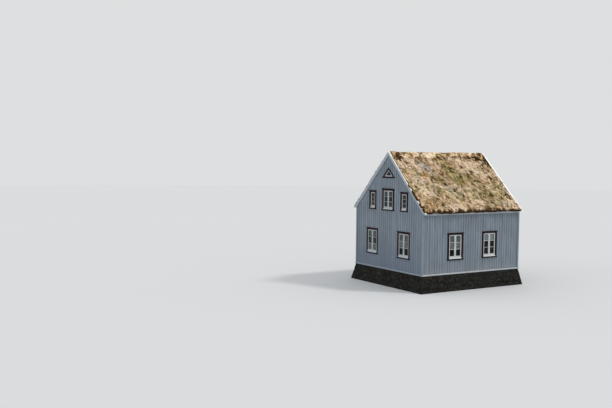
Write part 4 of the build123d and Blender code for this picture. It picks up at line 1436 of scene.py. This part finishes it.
def grass_blade(reach, lean, width):
    """One bent blade that leans towards +X, with a pointed tip."""
    bpy.ops.object.select_all(action="DESELECT")
    bpy.ops.mesh.primitive_plane_add(size=1, location=(0, 0, 0))
    blade = bpy.context.object
    work_on(blade, everything=True)
    bpy.ops.transform.resize(value=(0.5 * reach, width, 1))
    bpy.ops.transform.translate(value=(0.25 * reach, 0, 0))
    pick(blade, lambda v: v.co.x > 0.2 * reach)
    bpy.ops.transform.translate(value=(0, 0, 0.30 * lean))
    bpy.ops.mesh.extrude_region_move(TRANSFORM_OT_translate={"value": (0.5 * reach, 0, -0.20 * lean)})
    bpy.ops.mesh.merge(type="CENTER")
    leave()
    return blade


def grass_tufts(count):
    """Tufts a unit long, each of a few blades that fan out from one root."""
    tufts = []
    for _ in range(count):
        blades = []
        for _ in range(BLADES_A_TUFT):
            blade = grass_blade(*[random.uniform(*span) for span in BLADE_SPANS])
            turn = Matrix.Rotation(random.uniform(-0.7, 0.7), 4, "Z")
            roll = Matrix.Rotation(random.uniform(-0.6, 0.6), 4, "X")
            root = Matrix.Translation((random.uniform(-0.12, 0.12), random.uniform(-0.22, 0.22), 0))
            blade.data.transform(root @ turn @ roll)
            blades.append(blade)
        tuft = join("tuft", blades)
        tufts.append((points_of(tuft), faces_of(tuft)))
        drop(tuft)
    return tufts


def growth_of(piece):
    values = np.empty(len(piece.data.vertices) * 4, dtype=np.float32)
    piece.data.attributes["growth"].data.foreach_get("color", values)
    return values.reshape(-1, 4)


def sow(name, bed, tufts, count, seed, lie):
    """Plants tufts over the parts of a bed that aren't bare, the way and as long as lie() says.
    Each tuft is of one kind, so the kinds mingle, and of its own shade, paler to the tips."""
    chosen = np.random.default_rng(seed)
    values = growth_of(bed)
    # In the order of their points, because the order of the faces isn't the same each time
    faces = [(sorted(f.vertices), f) for f in bed.data.polygons if len(f.vertices) == 4]
    faces = sorted(face for face in faces if values[face[0][0], 3] > BARE_BELOW)
    area = np.array([round(f.area, 7) * (1.3 if f.center.z < DROOP_BELOW else 1.0) for _, f in faces])
    points, rings, growth, offset = [], [], [], 0
    for number in chosen.choice(len(faces), size=count, p=area / area.sum()):
        order, face = faces[number]
        corners = [bed.data.vertices[v].co for v in order]
        root = sum((c * float(w) for c, w in zip(corners, chosen.dirichlet([1.0] * 4))), Vector())
        way, length = lie(root, chosen)
        normal = face.normal
        way = (way - normal * way.dot(normal)).normalized()
        shape, shape_faces = tufts[chosen.integers(len(tufts))]
        turn = np.array(Matrix((way, normal.cross(way), normal)).transposed())
        points.append(shape @ turn.T * length + np.array(root - normal * ROOT_DEPTH))
        rings += [[v + offset for v in ring] for ring in shape_faces]
        offset += len(shape)
        here = values[order[0]]
        made = np.tile(here, (len(shape), 1))
        made[:, :3] = np.where(chosen.random(3) < here[:3], 0.85, 0.30 * here[:3])
        # Darker at the root and paler to the tips: painted shade down in the tuft
        tall = np.clip(1.5 * shape[:, 0], 0, 1)
        made[:, 3] = np.clip(here[3] + chosen.normal(0.06, TUFT_SPREAD) - 0.22 + 0.36 * tall, 0.03, 1)
        growth.append(made)
    piece = mesh_piece(name, np.vstack(points).tolist(), rings)
    write_growth(piece, np.vstack(growth))
    fit_out(piece, grass_finish, "turf")


def lie_down_slope(root, chosen):
    """Combed down the slope by snow and rain, hanging where the turf rolls over the eaves."""
    side = 1 if root.x > 0 else -1
    swirl = 0.7 * noise.noise(root * 1.4) + float(chosen.normal(0, 0.38))
    if root.z < DROOP_BELOW:
        return Vector((0.4 * side, 0.6 * swirl, -1)), float(chosen.uniform(0.04, 0.12))
    return Vector((side, 1.4 * swirl, -1)), float(chosen.uniform(0.09, 0.19))


def lie_short(root, chosen):
    """The shorter growth between the long tufts."""
    way, length = lie_down_slope(root, chosen)
    return way + Vector((0, float(chosen.normal(0, 0.5)), 0)), 0.55 * length


def lie_on_ridge(root, chosen):
    side = 1 if root.x > 0 else -1
    way = Vector((side * abs(float(chosen.normal(0.6, 0.5))), float(chosen.normal(0, 0.6)), -0.2))
    return way, float(chosen.uniform(0.06, 0.13))


def make_turf():
    tufts = grass_tufts(6)
    share = 1.0
    for side, word in ((-1, "left"), (1, "right")):
        bed = make_bed(side, word + "_sods", word + "_turf")
        sow(word + "_grass", bed, tufts, int(LONG_TUFTS * share), 11 + side, lie_down_slope)
        sow(word + "_short_grass", bed, tufts, int(SHORT_TUFTS * share), 21 + side, lie_short)
    verges = join("verge_sods", [make_verge(*corner) for corner in VERGES])
    fit_out(verges, sod_finish, "turf")
    sow("verge_grass", verges, tufts, int(VERGE_TUFTS * share), 3, lie_short)
    sow("ridge_grass", make_ridge(), tufts, int(RIDGE_TUFTS * share), 5, lie_on_ridge)


# Stage, light and camera: the camera's yaw, dip and roll in degrees, its place in metres, its lens in mm
CAMERA_TURN = (58.98, 3.168, 0.609)
CAMERA_PLACE = (31.557, -27.423, 6.335)
CAMERA_LENS = 45.27


def make_stage():
    bpy.ops.object.select_all(action="DESELECT")
    bpy.ops.mesh.primitive_circle_add(vertices=96, radius=160, fill_type="NGON", location=(0, 0, 0))
    floor = settle(bpy.context.object, "floor")
    f = Finish("floor_paint", 0.9, 0.0)
    floor.data.materials.append(f.done(f.mix(f.noise(0.05, 2), tint(198, 200, 202), tint(200, 202, 204))))


def make_light():
    """An even sky, which glass and polish show as the pale background, and a soft sun from the back right."""
    world = bpy.data.worlds.new("studio")
    bpy.context.scene.world = world
    world.use_nodes = True
    tree = world.node_tree
    tree.nodes.clear()
    seen, fill = tree.nodes.new("ShaderNodeBackground"), tree.nodes.new("ShaderNodeBackground")
    seen.inputs["Color"].default_value = tint(222, 223, 224)
    fill.inputs["Color"].default_value = (1.0, 1.0, 1.0, 1.0)
    fill.inputs["Strength"].default_value = 0.90
    path = tree.nodes.new("ShaderNodeLightPath")
    is_seen = path.outputs["Is Camera Ray"]
    for ray in ("Is Glossy Ray", "Is Transmission Ray"):
        either = tree.nodes.new("ShaderNodeMath")
        either.operation = "MAXIMUM"
        tree.links.new(is_seen, either.inputs[0])
        tree.links.new(path.outputs[ray], either.inputs[1])
        is_seen = either.outputs[0]
    mixed = tree.nodes.new("ShaderNodeMixShader")
    tree.links.new(is_seen, mixed.inputs[0])
    tree.links.new(fill.outputs[0], mixed.inputs[1])
    tree.links.new(seen.outputs[0], mixed.inputs[2])
    tree.links.new(mixed.outputs[0], tree.nodes.new("ShaderNodeOutputWorld").inputs[0])

    for name, power, spread, colour, way in (
        ("key", 1.3, 9, (1.0, 0.98, 0.95), (0.46, 0.50, 0.73)),
        ("front_fill", 0.40, 40, (0.80, 0.90, 1.0), (-0.05, -0.95, 0.30)),
    ):
        sun = bpy.data.lights.new(name, "SUN")
        sun.energy = power
        sun.angle = math.radians(spread)
        sun.color = colour
        lamp = bpy.data.objects.new(name, sun)
        bpy.context.collection.objects.link(lamp)
        lamp.rotation_mode = "QUATERNION"
        lamp.rotation_quaternion = Vector(way).to_track_quat("Z", "Y")


def make_camera():
    """The photograph's place: some forty metres off, past the near corner."""
    yaw, dip, roll = (math.radians(angle) for angle in CAMERA_TURN)
    ahead = Vector((-math.sin(yaw) * math.cos(dip), math.cos(yaw) * math.cos(dip), -math.sin(dip)))
    level = Vector((math.cos(yaw), math.sin(yaw), 0))
    above = level.cross(ahead)
    right = level * math.cos(roll) + above * math.sin(roll)
    up = above * math.cos(roll) - level * math.sin(roll)
    data = bpy.data.cameras.new("camera")
    data.lens = CAMERA_LENS
    data.sensor_width = 36
    data.clip_end = 600
    camera = bpy.data.objects.new("camera", data)
    bpy.context.collection.objects.link(camera)
    turn = Matrix((right, up, -ahead)).transposed().to_4x4()
    camera.matrix_world = Matrix.Translation(CAMERA_PLACE) @ turn
    bpy.context.scene.camera = camera


bpy.context.scene.view_settings.view_transform = "Standard"
make_camera()
make_light()
make_stage()
paint_carried_over()
for word in ("front", "back"):
    make_battens(word, RIDGE - WALL_FOOT, GABLE_WINDOWS, True)
for word in ("left", "right"):
    make_battens(word, EAVES_BOARD_FOOT, SIDE_WINDOWS, False)
for word in ("front", "back"):
    make_windows(word, [word], GABLE_WINDOWS, True, word + "_glass")
make_windows("side", ["left", "right"], SIDE_WINDOWS, False, "side_glass")
for word in WALLS:
    make_plinth_stones(word)
make_steps()
make_door()
make_turf()
